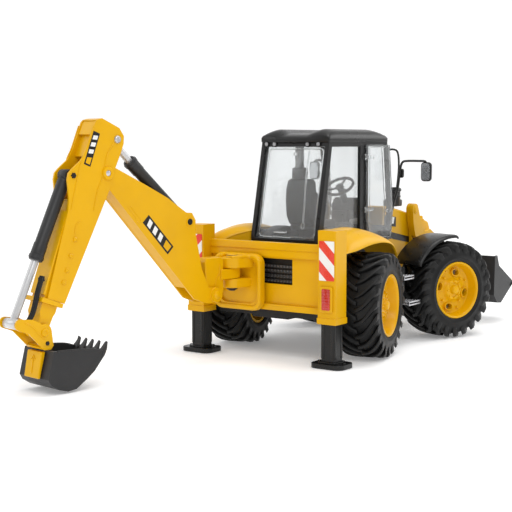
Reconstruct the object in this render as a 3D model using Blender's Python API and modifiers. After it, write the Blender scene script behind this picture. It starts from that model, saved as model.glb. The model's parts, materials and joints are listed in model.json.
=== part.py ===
"""Toy backhoe loader, about one sixteenth of the real machine, as separate moulded pieces.

Lengths are written in millimetres and multiplied by MM when a mesh is made.
X is forward, Y is the vehicle's left and Z is up. The vehicle is laid out from the ground
under the rear axle, and at the end the whole model is moved so that the bottom centre of
its bounding box is the origin. The backhoe is laid out in a plane of its own, where the
first coordinate runs outward from the swing pin and the second one is the height.
"""

import math

import bmesh
import bpy
from mathutils import Matrix, Vector

MM = 0.001
TAU = 2 * math.pi

# Clearances
GAP = 0.3
PIN_GAP = 0.2

# Overall layout
WHEELBASE = 146.5
REAR_FRAME_WIDTH = 162.6
CAB_HEIGHT = 205.0
KINGPIN_Y = 73.1

# Wheels
TYRE_RADIUS = 48.0
TYRE_WIDTH = 40.0
RIM_RADIUS = 28.4
RIM_WIDTH = 38.0
AXLE_PIN_RADIUS = 3.0
FRONT_STEER = -19.7
REAR_STEER = 13.4

# Rear frame and stabilisers
POST_WIDTH = 18.2
POST_DEPTH = 17.3
POST_REAR_X = -72.4
POST_TOP = 119.6
POST_BOTTOM = 38.2
POST_WALL = 1.45
COLLAR_PROUD = 0.6
COLLAR_HEIGHT = 5.5
LEG_SIDE = 13.8
LEG_TOP = 84.0
FOOT_LENGTH = 33.0
FOOT_DEPTH = 25.0
FOOT_THICKNESS = 4.2
BEAM_TOP = 105.8
BEAM_BOTTOM = 92.5
RAIL_TOP = 50.0
RAIL_BOTTOM = 44.6
BEAM_REAR_X = -62.0

# Backhoe carriage and swing
CARRIAGE_Y = 27.0
CARRIAGE_WIDTH = 54.0
CARRIAGE_TOP = 95.0
CARRIAGE_BOTTOM = 43.4
SWING_X = -76.2
SWING_ANGLE = 9.0
SWING_PIN_RADIUS = 3.2
UPPER_ARM = (82.4, 92.0)
LOWER_ARM = (64.5, 73.0)

# Backhoe pivots in the backhoe plane, as outward distance and height
BOOM_PIVOT = (28.0, 60.8)
RAM_BASE = (57.7, 126.9)
DIPPER_PIVOT = (147.5, 170.4)
RAM_HEAD = (137.1, 197.4)
CURL_BASE = (181.0, 169.2)
HITCH_PIVOT = (211.6, 48.7)
CURL_HEAD = (233.2, 56.6)
SLIDE_ANGLE = 20.5

# Backhoe sections
BOOM_HALF_WIDTH = 7.9
BOOM_PLATE = 1.8
DIPPER_HALF_WIDTH = 10.1
DIPPER_PLATE = 1.7
STICK_DEPTH = 14.4
HITCH_HALF_WIDTH = 11.6
HITCH_PLATE = 1.7
BUCKET_WIDTH = 40.0
BUCKET_SHEET = 1.8
PIN_RADIUS = 2.2

# Backhoe cylinders
BARREL_RADIUS = 5.1
BORE_RADIUS = 4.45
ROD_HALF_WIDTH = 2.6
ROD_HALF_DEPTH = 1.6
RAM_BARREL_LENGTH = 80.0
RAM_ROD_LENGTH = 68.0
RAM_BARREL_TRIM = -1.32
RAM_ROD_TRIM = -0.35
CURL_BARREL_LENGTH = 72.0
CURL_ROD_LENGTH = 88.0
CURL_BARREL_TRIM = -0.6
CURL_ROD_TRIM = -1.29

# Cab
CAB_HALF_WIDTH = 37.4
CAB_WALL = 3.2
CAB_FLOOR = 99.0
CAB_EAVES = 195.5
DOOR_GAP = 0.5
DOOR_THICKNESS = 2.2

# Front loader
LOADER_PIVOT = (154.0, 126.0)
LOADER_PIN = (236.0, 38.0)
LOADER_BUCKET_WIDTH = 164.0
ARM_INNER_Y = 31.0
ARM_OUTER_Y = 35.4
TOWER_INNER_Y = 27.6

YELLOW = ("yellow_plastic", (0.84, 0.44, 0.01), 0.35, 0.0)
BLACK = ("black_plastic", (0.03, 0.03, 0.032), 0.45, 0.0)
GREY = ("grey_plastic", (0.07, 0.07, 0.075), 0.45, 0.0)
RUBBER = ("tyre_rubber", (0.02, 0.02, 0.02), 0.75, 0.0)
SILVER = ("silver_plastic", (0.62, 0.63, 0.65), 0.3, 0.6)
CLEAR = ("clear_plastic", (0.85, 0.9, 0.92), 0.08, 0.0)
RED = ("red_lens", (0.6, 0.02, 0.02), 0.15, 0.0)


def clear_scene():
    for obj in list(bpy.data.objects):
        bpy.data.objects.remove(obj)


def make_collections():
    parts = bpy.data.collections.new("toy_backhoe_loader")
    cutters = bpy.data.collections.new("cutters")
    for collection in (parts, cutters):
        bpy.context.scene.collection.children.link(collection)
    return parts, cutters


clear_scene()
PARTS, CUTTERS = make_collections()
MATERIALS = {}


def material(kind):
    name, colour, roughness, metallic = kind
    if name not in MATERIALS:
        made = bpy.data.materials.new(name)
        made.use_nodes = True
        shader = made.node_tree.nodes["Principled BSDF"]
        shader.inputs["Base Color"].default_value = (*colour, 1.0)
        shader.inputs["Roughness"].default_value = roughness
        shader.inputs["Metallic"].default_value = metallic
        if kind is CLEAR:
            shader.inputs["Transmission Weight"].default_value = 0.9
        MATERIALS[name] = made
    return MATERIALS[name]


# ---------------------------------------------------------------- shapes


def mesh_object(mesh, matrix=None):
    obj = bpy.data.objects.new("shape", mesh)
    CUTTERS.objects.link(obj)
    obj.matrix_world = matrix or Matrix()
    return obj


def from_bmesh(shape, matrix=None):
    mesh = bpy.data.meshes.new("shape")
    shape.normal_update()
    shape.to_mesh(mesh)
    shape.free()
    return mesh_object(mesh, matrix)


def bevelled(obj, width, segments=2, angle=40):
    bevel = obj.modifiers.new("rounded_edges", "BEVEL")
    bevel.width = width * MM
    bevel.segments = segments
    bevel.limit_method = "ANGLE"
    bevel.angle_limit = math.radians(angle)
    return obj


def block(low, high, matrix=None):
    """A box between two corners."""
    shape = bmesh.new()
    bmesh.ops.create_cube(shape, size=1)
    low, high = Vector(low) * MM, Vector(high) * MM
    size, middle = high - low, (low + high) / 2
    bmesh.ops.scale(shape, vec=size, verts=shape.verts)
    bmesh.ops.translate(shape, vec=middle, verts=shape.verts)
    return from_bmesh(shape, matrix)


def rod(start, end, radius, matrix=None, sides=20, end_radius=None):
    """A round bar, or a cone, between two points."""
    start, end = Vector(start) * MM, Vector(end) * MM
    along = end - start
    shape = bmesh.new()
    bmesh.ops.create_cone(
        shape,
        cap_ends=True,
        segments=sides,
        radius1=radius * MM,
        radius2=(radius if end_radius is None else end_radius) * MM,
        depth=along.length,
    )
    turn = along.to_track_quat("Z", "Y").to_matrix().to_4x4()
    bmesh.ops.transform(shape, matrix=Matrix.Translation((start + end) / 2) @ turn, verts=shape.verts)
    return from_bmesh(shape, matrix)


def outline(points, low, high, matrix=None, plane="XZ"):
    """A flat outline given thickness from low to high along the plane's normal."""
    curve = bpy.data.curves.new("outline", "CURVE")
    curve.dimensions = "2D"
    curve.fill_mode = "BOTH"
    curve.extrude = (high - low) / 2 * MM
    spline = curve.splines.new("POLY")
    spline.points.add(len(points) - 1)
    for place, (first, second) in zip(spline.points, points):
        place.co = (first * MM, second * MM, 0, 1)
    spline.use_cyclic_u = True
    flat = bpy.data.objects.new("outline", curve)
    CUTTERS.objects.link(flat)
    graph = bpy.context.evaluated_depsgraph_get()
    mesh = bpy.data.meshes.new_from_object(flat.evaluated_get(graph))
    bpy.data.objects.remove(flat)
    shape = bmesh.new()
    shape.from_mesh(mesh)
    bmesh.ops.remove_doubles(shape, verts=shape.verts, dist=0.01 * MM)
    bmesh.ops.dissolve_limit(shape, angle_limit=math.radians(1), verts=shape.verts, edges=shape.edges)
    middle = (low + high) / 2 * MM
    if plane == "XZ":
        stand = Matrix.Rotation(math.radians(90), 4, "X")
        stand = Matrix.Translation((0, middle, 0)) @ stand
    elif plane == "YZ":
        stand = Matrix(((0, 0, 1, middle), (1, 0, 0, 0), (0, 1, 0, 0), (0, 0, 0, 1)))
    else:
        stand = Matrix.Translation((0, 0, middle))
    bmesh.ops.transform(shape, matrix=stand, verts=shape.verts)
    bmesh.ops.recalc_face_normals(shape, faces=shape.faces)
    return from_bmesh(shape, matrix)


def arc(centre, radius, start, end, steps):
    """Points along a circle between two angles in degrees."""
    angles = [math.radians(start + (end - start) * i / steps) for i in range(steps + 1)]
    return [(centre[0] + radius * math.cos(a), centre[1] + radius * math.sin(a)) for a in angles]


def rounded_rectangle(low, high, radius, steps=4):
    (x0, y0), (x1, y1) = low, high
    corners = ((x1, y1, 0), (x0, y1, 90), (x0, y0, 180), (x1, y0, 270))
    points = []
    for x, y, start in corners:
        centre = (x - radius if x == x1 else x + radius, y - radius if y == y1 else y + radius)
        points += arc(centre, radius, start, start + 90, steps)
    return points


def turned(profile, steps, matrix):
    """A profile of radius and length pairs, turned about the Y axis."""
    shape = bmesh.new()
    corners = [shape.verts.new((radius * MM, along * MM, 0)) for radius, along in profile]
    for first, second in zip(corners, corners[1:]):
        shape.edges.new((first, second))
    if profile[0][0] > 0:
        shape.edges.new((corners[-1], corners[0]))
    obj = from_bmesh(shape, matrix)
    screw = obj.modifiers.new("turn", "SCREW")
    screw.axis = "Y"
    screw.angle = TAU
    screw.steps = steps
    screw.render_steps = steps
    screw.use_merge_vertices = True
    screw.merge_threshold = 0.00001
    return obj


def combine(base, joined=(), cut=()):
    """Boolean modifiers on base: what is joined first, then what is cut away."""
    for operation, others in (("UNION", joined), ("DIFFERENCE", cut)):
        for other in others:
            boolean = base.modifiers.new(operation.lower(), "BOOLEAN")
            boolean.operation = operation
            boolean.object = other
            other.hide_render = True
            other.display_type = "WIRE"
            other.name = "cutter"
    return base


def piece(name, obj, kind, parent):
    """Names a finished solid, gives it its material and hangs it on its joint's empty."""
    obj.name = name
    obj.data.name = name
    CUTTERS.objects.unlink(obj)
    PARTS.objects.link(obj)
    obj.data.materials.append(material(kind))
    attach(obj, parent)
    used = [m.object for m in obj.modifiers if m.type == "BOOLEAN"]
    while used:
        helper = used.pop()
        attach(helper, parent)
        used += [m.object for m in helper.modifiers if m.type == "BOOLEAN"]
    return obj


def attach(obj, parent):
    bpy.context.view_layer.update()
    place = obj.matrix_world.copy()
    obj.parent = parent
    obj.matrix_parent_inverse = parent.matrix_world.inverted()
    obj.matrix_world = place


def empty(name, location, parent, turn=None):
    """An empty on a joint's axis, at a place in millimetres."""
    made = bpy.data.objects.new(name, None)
    made.empty_display_size = 0.01
    PARTS.objects.link(made)
    made.matrix_world = Matrix.Translation(Vector(location) * MM) @ (turn or Matrix())
    if parent:
        attach(made, parent)
    bpy.context.view_layer.update()
    return made


ROOT = empty("toy_backhoe_loader", (0, 0, 0), None)

# ---------------------------------------------------------------- chassis and axles

SPINE_HALF_WIDTH = 20.0
SPINE_BOTTOM = 36.0
SPINE_TOP = 62.0
SPINE_REAR_X = -54.5
SPINE_FRONT_X = 200.0
AXLE_HALF_WIDTH = 9.0
KNUCKLE_RADIUS = 6.5
KINGPIN_RADIUS = 3.0


def make_chassis():
    spine = block(
        (SPINE_REAR_X, -SPINE_HALF_WIDTH, SPINE_BOTTOM),
        (SPINE_FRONT_X, SPINE_HALF_WIDTH, SPINE_TOP),
    )
    rear_cross = block((SPINE_REAR_X, -58, SPINE_BOTTOM + 2), (-50.5, 58, SPINE_TOP + 4))
    gearbox = block((-34, -30, SPINE_TOP - 8), (96, 30, CAB_FLOOR - GAP))
    engine = block((SPINE_REAR_X + 8, -24, SPINE_TOP - 4), (-30, 24, 88))
    tank_bearer = block((64, -52, 52), (84, 52, 64))
    axle_cuts = [
        block((x - AXLE_HALF_WIDTH - GAP, -60, TYRE_RADIUS - 30), (x + AXLE_HALF_WIDTH + GAP, 60, TYRE_RADIUS + 10 + GAP))
        for x in (0, WHEELBASE)
    ]
    piece(
        "chassis",
        combine(spine, [rear_cross, gearbox, engine, tank_bearer], axle_cuts),
        BLACK,
        ROOT,
    )


def make_axle(name, x):
    """A beam that ends in a fork round each kingpin."""
    reach = KINGPIN_Y - KNUCKLE_RADIUS - 2
    level = TYRE_RADIUS
    beam = block((x - AXLE_HALF_WIDTH, -reach, level - 8), (x + AXLE_HALF_WIDTH, reach, level + 9.5))
    housing = rod((x, 0, level - 14.5), (x, 0, level - 3), AXLE_HALF_WIDTH - 0.5, sides=20)
    forks = []
    holes = []
    for side in (-1, 1):
        for low, high in ((level - 14, level - 10), (level + 10, level + 14)):
            y = sorted((side * (reach - 14), side * KINGPIN_Y))
            forks.append(block((x - 6, y[0], low), (x + 6, y[1], high)))
            forks.append(rod((x, side * KINGPIN_Y, low), (x, side * KINGPIN_Y, high), 6, sides=16))
        holes.append(
            rod((x, side * KINGPIN_Y, level - 18), (x, side * KINGPIN_Y, level + 22), KINGPIN_RADIUS + PIN_GAP)
        )
        y = sorted((side * (reach - 14), side * (reach - 4)))
        forks.append(block((x - 6, y[0], level - 14.1), (x + 6, y[1], level + 14.1)))
    piece(name, combine(beam, [housing, *forks], holes), BLACK, ROOT)


# ---------------------------------------------------------------- wheels and steering


def steering_joint(name, x, side, angle):
    turn = Matrix.Rotation(math.radians(angle), 4, "Z")
    return empty(name, (x, side * KINGPIN_Y, TYRE_RADIUS), ROOT, turn)


def wheel_frame(x, side, angle):
    """The wheel's own frame, with its outer face towards +Y."""
    place = Matrix.Translation(Vector((x, side * KINGPIN_Y, TYRE_RADIUS)) * MM)
    return place @ Matrix.Rotation(math.radians(angle + (180 if side < 0 else 0)), 4, "Z")


def make_knuckle(name, frame, joint):
    """A pin between the axle's forks, with the stub that carries the wheel."""
    body = rod((0, 0, -9.6), (0, 0, 9.6), KNUCKLE_RADIUS - 0.5, frame)
    kingpin = rod((0, 0, -13.8), (0, 0, 17.6), KINGPIN_RADIUS, frame, sides=16)
    stub = rod((0, 3, 0), (0, 17.0, 0), AXLE_PIN_RADIUS, frame, sides=16)
    piece(name, combine(body, [kingpin, stub]), GREY, joint)


def make_wheel(name, frame, joint):
    half = TYRE_WIDTH / 2
    lip = RIM_WIDTH / 2
    tread = [(TYRE_RADIUS - 3.0, half), (TYRE_RADIUS, half - 5), (TYRE_RADIUS, 5 - half), (TYRE_RADIUS - 3.0, -half)]
    inner = RIM_RADIUS + GAP
    section = [(inner, lip), (RIM_RADIUS + 4, half), *tread, (RIM_RADIUS + 4, -half), (inner, -lip)]
    tyre = turned(section, 32, frame)
    piece("tyre_" + name, tyre, RUBBER, joint)
    well = RIM_RADIUS - 2.4
    dish = [
        (AXLE_PIN_RADIUS + PIN_GAP, 17.0),
        (8, 17.0),
        (11, 12.5),
        (well - 4, 10),
        (well, lip),
        (RIM_RADIUS, lip),
        (RIM_RADIUS, -lip),
        (well, -lip),
        (well - 3, 7.2),
        (AXLE_PIN_RADIUS + PIN_GAP, 9.0),
    ]
    rim = turned(dish, 28, frame)
    piece("rim_" + name, rim, YELLOW, joint)


MUDGUARD_RADIUS = 55.0


def make_mudguard(name, frame, joint, side):
    """A curved guard over the upper rear of a front wheel, bolted to the top of its kingpin."""
    start, end = (84, 150) if side > 0 else (96, 30)
    outer = arc((0, 0), MUDGUARD_RADIUS, start, end, 10)
    inner = arc((0, 0), MUDGUARD_RADIUS - 1.8, end, start, 10)
    guard = outline(outer + inner, -23, 14, frame)
    rear = -side
    post_x = sorted((12 * rear, 22 * rear))
    arm_x = sorted((-5 * rear, 22 * rear))
    post = block((post_x[0], -24.5, 14.8), (post_x[1], -22.0, 49.8), frame)
    arm = block((arm_x[0], -24.5, 14.8), (arm_x[1], -21.5, 17.4), frame)
    bracket = block((-5, -24.4, 14.8), (5, 5, 17.4), frame)
    hole = rod((0, 0, 10), (0, 0, 20), KINGPIN_RADIUS + PIN_GAP, frame, sides=16)
    piece(name, combine(guard, [post, arm, bracket], [hole]), BLACK, joint)


# ---------------------------------------------------------------- rear frame and stabilisers

POST_CENTRE_Y = REAR_FRAME_WIDTH / 2 - POST_WIDTH / 2
POST_CENTRE_X = POST_REAR_X + POST_DEPTH / 2
WINDOW_HALF_WIDTH = 27.0
WINDOW = (68.0, 91.0)


def make_rear_frame():
    inner = REAR_FRAME_WIDTH / 2 - POST_WIDTH
    front = POST_REAR_X + POST_DEPTH
    beam = bevelled(
        block((BEAM_REAR_X, -inner - 2, BEAM_BOTTOM + 6.5), (front - 0.6, inner + 2, BEAM_TOP)), 0.5, 1
    )
    lower_beam = block(
        (BEAM_REAR_X + 1, -inner - 2, BEAM_BOTTOM), (front - 0.6, inner + 2, BEAM_BOTTOM + 7.5)
    )
    rail = block((BEAM_REAR_X, -inner - 2, RAIL_BOTTOM), (front - 0.6, inner + 2, RAIL_TOP))
    panel = block((BEAM_REAR_X + 3.5, -inner - 2, RAIL_BOTTOM + 1), (front - 0.7, inner + 2, BEAM_TOP - 2))
    solids = [lower_beam, rail, panel]
    cuts = [block((-70, -WINDOW_HALF_WIDTH, WINDOW[0]), (-50, WINDOW_HALF_WIDTH, WINDOW[1]))]
    for side in (-1, 1):
        y = side * POST_CENTRE_Y
        low = (POST_REAR_X, y - POST_WIDTH / 2, POST_BOTTOM)
        high = (front, y + POST_WIDTH / 2, POST_TOP)
        solids.append(block(low, high))
        solids.append(
            block(
                (low[0] - COLLAR_PROUD, low[1] - COLLAR_PROUD, POST_BOTTOM + 0.4),
                (high[0] + COLLAR_PROUD, high[1] + COLLAR_PROUD, POST_BOTTOM + COLLAR_HEIGHT),
            )
        )
        bore = LEG_SIDE / 2 + GAP
        cuts.append(
            block(
                (POST_CENTRE_X - bore, y - bore, POST_BOTTOM - 2),
                (POST_CENTRE_X + bore, y + bore, POST_TOP - POST_WALL),
            )
        )
    piece("rear_frame", combine(beam, solids, cuts), YELLOW, ROOT)


def make_tread_step():
    """The ribbed foot plate behind the window of the rear frame."""
    step = block((-54, -WINDOW_HALF_WIDTH, 88.6), (-47, WINDOW_HALF_WIDTH, 92))
    ribs = [
        block((-54.2, -WINDOW_HALF_WIDTH + 1, z), (-52, WINDOW_HALF_WIDTH - 1, z + 1.6))
        for z in (70, 74, 78, 82)
    ]
    riser = block((-53, -WINDOW_HALF_WIDTH, 67), (-50.5, WINDOW_HALF_WIDTH, 91.5))
    piece("rear_step", combine(step, [riser, *ribs]), BLACK, ROOT)


def make_tail_lamp(name, side):
    y = side * POST_CENTRE_Y
    x = POST_REAR_X - GAP
    bezel = block((x - 1.0, y - 6.4, 49), (x, y + 6.4, 71.5))
    lens = bevelled(block((x - 2.2, y - 5.0, 50.5), (x - 0.5, y + 5.0, 70)), 0.5, 1)
    piece(name, combine(bezel, [lens]), RED, ROOT)


def make_stabiliser(name, side):
    y = side * POST_CENTRE_Y
    joint = empty(name + "_slide", (POST_CENTRE_X, y, 0), ROOT)
    half = LEG_SIDE / 2
    leg = bevelled(
        block((POST_CENTRE_X - half, y - half, 2), (POST_CENTRE_X + half, y + half, LEG_TOP)), 1.0, 1
    )
    pad = rounded_rectangle(
        (POST_CENTRE_X - FOOT_DEPTH / 2, y - FOOT_LENGTH / 2),
        (POST_CENTRE_X + FOOT_DEPTH / 2, y + FOOT_LENGTH / 2),
        7,
    )
    foot = outline(pad, 0, FOOT_THICKNESS, plane="XY")
    piece(name, combine(leg, [foot]), BLACK, joint)


# ---------------------------------------------------------------- fenders, cab and body


FENDER = [
    (-53.5, 98.5), (-53.5, 108), (-50, 114), (-42, 117.6), (-30, 118.6), (-6, 117.5), (14, 113),
    (34, 103.5), (50, 95.5), (57.5, 90.5), (58, 85), (54.5, 84.5), (46, 91), (36, 96.5), (22, 100.5),
    (8, 102), (-20, 102), (-38, 100),
]


def make_fender(name, side):
    """A moulded cover over a rear wheel, hollow underneath."""
    span = sorted((side * (CAB_HALF_WIDTH + GAP), side * (REAR_FRAME_WIDTH / 2 - 1)))
    shell = bevelled(outline(FENDER, *span), 0.8, 1, 50)
    piece(name, shell, YELLOW, ROOT)


CAB_SIDE = [(-33, CAB_FLOOR), (96, CAB_FLOOR), (98.5, 128), (91, CAB_EAVES), (-15, CAB_EAVES), (-33, 109)]


def offset_cab(inset):
    low, high = CAB_FLOOR + inset, CAB_EAVES - inset
    return [
        (-33 + inset, low), (95.8 - inset, low), (98.3 - inset, 128), (91 - inset, high),
        (-15 + inset * 1.1, high), (-33 + inset * 1.1, 109),
    ]


def make_cab_frame():
    """Pillars, sill and header in one moulding, open at the windows and doors."""
    hull = outline(CAB_SIDE, -CAB_HALF_WIDTH, CAB_HALF_WIDTH)
    inside_width = CAB_HALF_WIDTH - CAB_WALL
    room = outline(offset_cab(CAB_WALL), -inside_width, inside_width)
    header = CAB_EAVES - 4.5
    quarter = outline([(-24, 113), (40, 113), (40, header), (-9.5, header)], -60, 60)
    doorway = outline([(52, 103), (91, 103), (93, 128), (86.5, header), (52, header)], -60, 60)
    rear = block((-80, -inside_width + 1, CAB_FLOOR + 7.5), (0, inside_width - 1, header))
    front = block((50, -inside_width + 1, 113), (140, inside_width - 1, header))
    piece("cab_frame", combine(hull, [], [room, quarter, doorway, rear, front]), BLACK, ROOT)


def make_roof():
    low = CAB_EAVES + GAP
    shape = [
        (-17, low), (92, low), (94, low + 3), (86, CAB_HEIGHT - 1.5), (62, CAB_HEIGHT), (-6, CAB_HEIGHT),
        (-16, low + 6.5), (-19, low + 2.5),
    ]
    slab = bevelled(outline(shape, -CAB_HALF_WIDTH - 0.8, CAB_HALF_WIDTH + 0.8), 1.6, 2)
    piece("cab_roof", slab, BLACK, ROOT)


def make_glazing():
    """One clear insert behind the rear pillars, and a separate windscreen."""
    outer = CAB_HALF_WIDTH - CAB_WALL - GAP
    wall = 1.4
    shape = offset_cab(CAB_WALL + GAP)
    shell = outline(shape, -outer, outer)
    inner = outline(offset_cab(CAB_WALL + GAP + wall), -outer + wall, outer - wall)
    front = block((44, -60, 90), (120, 60, 220))
    below = block((-60, -60, 90), (60, 60, CAB_FLOOR + 5.8))
    above = block((-60, -60, CAB_EAVES - 3.4), (60, 60, 220))
    piece("cab_windows", combine(shell, [], [inner, front, below, above]), CLEAR, ROOT)
    screen = outline(shape, -outer + wall + GAP, outer - wall - GAP)
    hollow = outline(offset_cab(CAB_WALL + GAP + wall), -70, 70)
    behind = block((-60, -60, 80), (70, 60, 220))
    low = block((60, -60, 90), (120, 60, 111))
    high = block((60, -60, CAB_EAVES - 3.4), (120, 60, 220))
    piece("windscreen", combine(screen, [], [hollow, behind, low, high]), CLEAR, ROOT)


DOOR_HINGE_X = 50.0


def make_door(name, side):
    inner = CAB_HALF_WIDTH + DOOR_GAP
    span = sorted((side * inner, side * (inner + DOOR_THICKNESS)))
    joint = empty(name + "_hinge", (DOOR_HINGE_X, side * (inner + DOOR_THICKNESS / 2), 145), ROOT)
    panel = outline([(50, 119.2), (54, 101), (95, 100), (98.5, 128), (91.3, 192.5), (50, 192.5)], *span)
    handle_y = sorted((side * (inner + 1), side * (inner + DOOR_THICKNESS + 1.5)))
    handle = block((84, handle_y[0], 127), (92, handle_y[1], 130))
    piece(name, combine(panel, [handle]), CLEAR, joint)


def make_seat():
    cushion = bevelled(block((0, -15, 112), (34, 15, 120)), 2, 2)
    back = outline([(-6, 118), (4, 114), (8, 122), (2, 160), (-6, 160), (-12, 140)], -13, 13)
    stand = block((4, -9, CAB_FLOOR + CAB_WALL + GAP), (28, 9, 114))
    piece("seat", combine(cushion, [back, stand]), BLACK, ROOT)


WHEEL_TILT = 35.0
STEERING_CENTRE = (62.0, 0.0, 152.0)


def make_steering():
    tilt = Matrix.Rotation(math.radians(-WHEEL_TILT), 4, "Y")
    frame = Matrix.Translation(Vector(STEERING_CENTRE) * MM) @ tilt
    base = block((66, -12, CAB_FLOOR + CAB_WALL + GAP), (88, 12, 128))
    axis = frame.to_3x3() @ Vector((0, 0, 1))
    top = Vector(STEERING_CENTRE) - axis * 2.5
    foot = Vector(STEERING_CENTRE) - axis * 32
    column = rod(foot, top, 3.2, sides=14)
    piece("steering_column", combine(base, [column]), BLACK, ROOT)
    joint = empty("steering_wheel_axis", STEERING_CENTRE, ROOT, tilt)
    stand = frame @ Matrix.Rotation(math.radians(90), 4, "X")
    ring = turned(
        [(13.5 + r, z) for r, z in [(1.6 * math.cos(a), 1.6 * math.sin(a)) for a in [-i * TAU / 8 for i in range(8)]]],
        24,
        stand,
    )
    spokes = [
        rod((0, 0, 0), (13.2 * math.cos(a), 13.2 * math.sin(a), 0), 1.1, frame, sides=8)
        for a in (0, TAU / 3, 2 * TAU / 3)
    ]
    hub = rod((0, 0, -1.8), (0, 0, 1.8), 4, frame, sides=16)
    piece("steering_wheel", combine(ring, [*spokes, hub]), BLACK, joint)


HOOD_HALF_WIDTH = 26.8


def make_hood():
    shape = [(99.5, 66.4), (203, 66.4), (205, 100), (199, 111), (180, 117), (140, 126), (112, 131), (99.5, 132)]
    hull = bevelled(outline(shape, -HOOD_HALF_WIDTH, HOOD_HALF_WIDTH), 2.0, 2, 30)
    under = block((103, -HOOD_HALF_WIDTH + 3, 60), (201, HOOD_HALF_WIDTH - 3, 92))
    piece("hood", combine(hull, [], [under]), YELLOW, ROOT)
    grille = outline([(203.8, 68), (205.6, 99), (207.8, 99), (206, 68)], -20, 20)
    slats = [block((206, -19, z), (208.6, 19, z + 2)) for z in (71, 76, 81, 86, 91, 96)]
    piece("grille", combine(grille, slats), BLACK, ROOT)
    canister = rod((138, -17, 130.2), (138, -17, 147), 8, sides=24)
    cap = rod((138, -17, 146), (138, -17, 149), 9, sides=24)
    foot = block((128.5, -24, 129.5), (147, -10, 137))
    piece("air_cleaner", combine(canister, [cap, foot]), BLACK, ROOT)


def make_tank(name, side):
    """Tank or battery box beside the chassis, with two steps."""
    y = sorted((side * 35, side * 60))
    box = bevelled(block((56, y[0], 40), (90, y[1], 74)), 2, 2)
    lip = sorted((side * 52, side * 74))
    upper = block((62, lip[0], 64.8), (81, lip[1], 68))
    lower = block((72, lip[0], 39.2), (94, lip[1], 42.4))
    saddle = block((63.6, -53, 51.6), (84.4, 53, 64.4))
    piece(name, combine(box, [upper, lower], [saddle]), BLACK, ROOT)


def make_mirror(name, side):
    """A mirror on a bent arm in front of the cab, with the grab rail in the same moulding."""
    path = [(101, 34, 120), (103, 44, 150), (102, 46, 172), (104, 50, 176), (114, 62, 176), (118, 66, 175)]
    radius = 1.1
    bars = []
    for start, end in zip(path, path[1:]):
        bars.append(
            rod((start[0], side * start[1], start[2]), (end[0], side * end[1], end[2]), radius, sides=6)
        )
    joints = []
    for x, y, z in path[1:-1]:
        joints.append(rod((x - 1.3, side * y, z), (x + 1.3, side * y, z), 1.3, sides=6))
    y = side * 66
    glass = bevelled(block((116.5, y - 6, 156), (120, y + 6, 175.5)), 1.4, 2)
    piece(name, combine(glass, [*bars, *joints]), BLACK, ROOT)


# ---------------------------------------------------------------- front loader


def make_loader_frame():
    """Two towers beside the hood, joined across the chassis in front of the cab."""
    x, z = LOADER_PIVOT
    side_view = [
        (156, SPINE_TOP + GAP), (178, SPINE_TOP + GAP), (175, 98), (x + 6, z - 2), *arc((x, z), 6.3, 15, 165, 6),
        (x - 6, z - 4), (154, 104),
    ]
    plates = [
        outline(side_view, *sorted((side * TOWER_INNER_Y, side * (ARM_INNER_Y - GAP)))) for side in (-1, 1)
    ]
    cross = block((158, -ARM_INNER_Y + 1, SPINE_TOP + GAP), (176, ARM_INNER_Y - 1, SPINE_TOP + 3.8))
    stubs = []
    for side in (-1, 1):
        start, end = side * (ARM_INNER_Y - 2), side * (ARM_OUTER_Y - 0.4)
        stubs.append(rod((x, start, z), (x, end, z), 3, sides=16))
        brace = [(134, 68), (158, 66), (160, 86), (142, 82)]
        plates.append(outline(brace, *sorted((side * (TOWER_INNER_Y + 0.3), side * (ARM_INNER_Y - GAP - 0.3)))))
    piece("loader_frame", combine(cross, [*plates, *stubs]), YELLOW, ROOT)


def make_loader():
    px, pz = LOADER_PIVOT
    bx, bz = LOADER_PIN
    axis = empty("loader_lift_axis", (px, 0, pz), ROOT)
    side_view = [
        *arc((px, pz), 6.2, 40, 210, 8), (150, 112), (154, 99), (164, 92), (186, 90), (200, 84), (213, 62), (226, 36),
        *arc((bx, bz), 5.2, 215, 395, 8), (229, 66), (216, 86), (203, 95.5), (187, 104), (176, 102), (168, 109),
    ]
    plates = [
        outline(side_view, *sorted((side * (ARM_INNER_Y), side * ARM_OUTER_Y))) for side in (-1, 1)
    ]
    tube = rod((221, -ARM_INNER_Y - 1, 70), (221, ARM_INNER_Y + 1, 70), 4, sides=16)
    holes = []
    for side in (-1, 1):
        start, end = side * (ARM_INNER_Y - 3), side * (ARM_OUTER_Y + 3)
        holes.append(rod((px, start, pz), (px, end, pz), 3 + PIN_GAP, sides=16))
        holes.append(rod((bx, start, bz), (bx, end, bz), 2 + PIN_GAP, sides=12))
    piece("loader_arms", combine(tube, plates, holes), YELLOW, axis)
    tilt = empty("loader_bucket_axis", (bx, 0, bz), axis)
    half = LOADER_BUCKET_WIDTH / 2
    outer = [(247, 73), (253, 73.5), (258, 62), (296, 41), (293, 38.4), (264, 21), (254, 22), (245.5, 31)]
    trough = outline(outer, -half, half)
    hollow = outline([(251, 80), (310, 80), (310, 43.5), (291, 40.6), (263, 23.6), (255, 24.2), (247.9, 32), (249, 74)], -half + 2, half - 2)
    ears = []
    for side in (-1, 1):
        y = sorted((side * (ARM_OUTER_Y + GAP), side * (ARM_OUTER_Y + 2.2)))
        ear = [(248, 30), (248, 60), (240, 50), *arc((bx, bz), 5, 90, 270, 6)]
        ears.append(outline(ear, *y))
        y = sorted((side * (ARM_INNER_Y - GAP), side * (ARM_INNER_Y - 2.2)))
        ears.append(outline(ear, *y))
        ears.append(rod((bx, side * (ARM_INNER_Y - 1), bz), (bx, side * (ARM_OUTER_Y + 1), bz), 2, sides=12))
    piece("loader_bucket", combine(trough, ears, [hollow]), GREY, tilt)


# ---------------------------------------------------------------- backhoe


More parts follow.
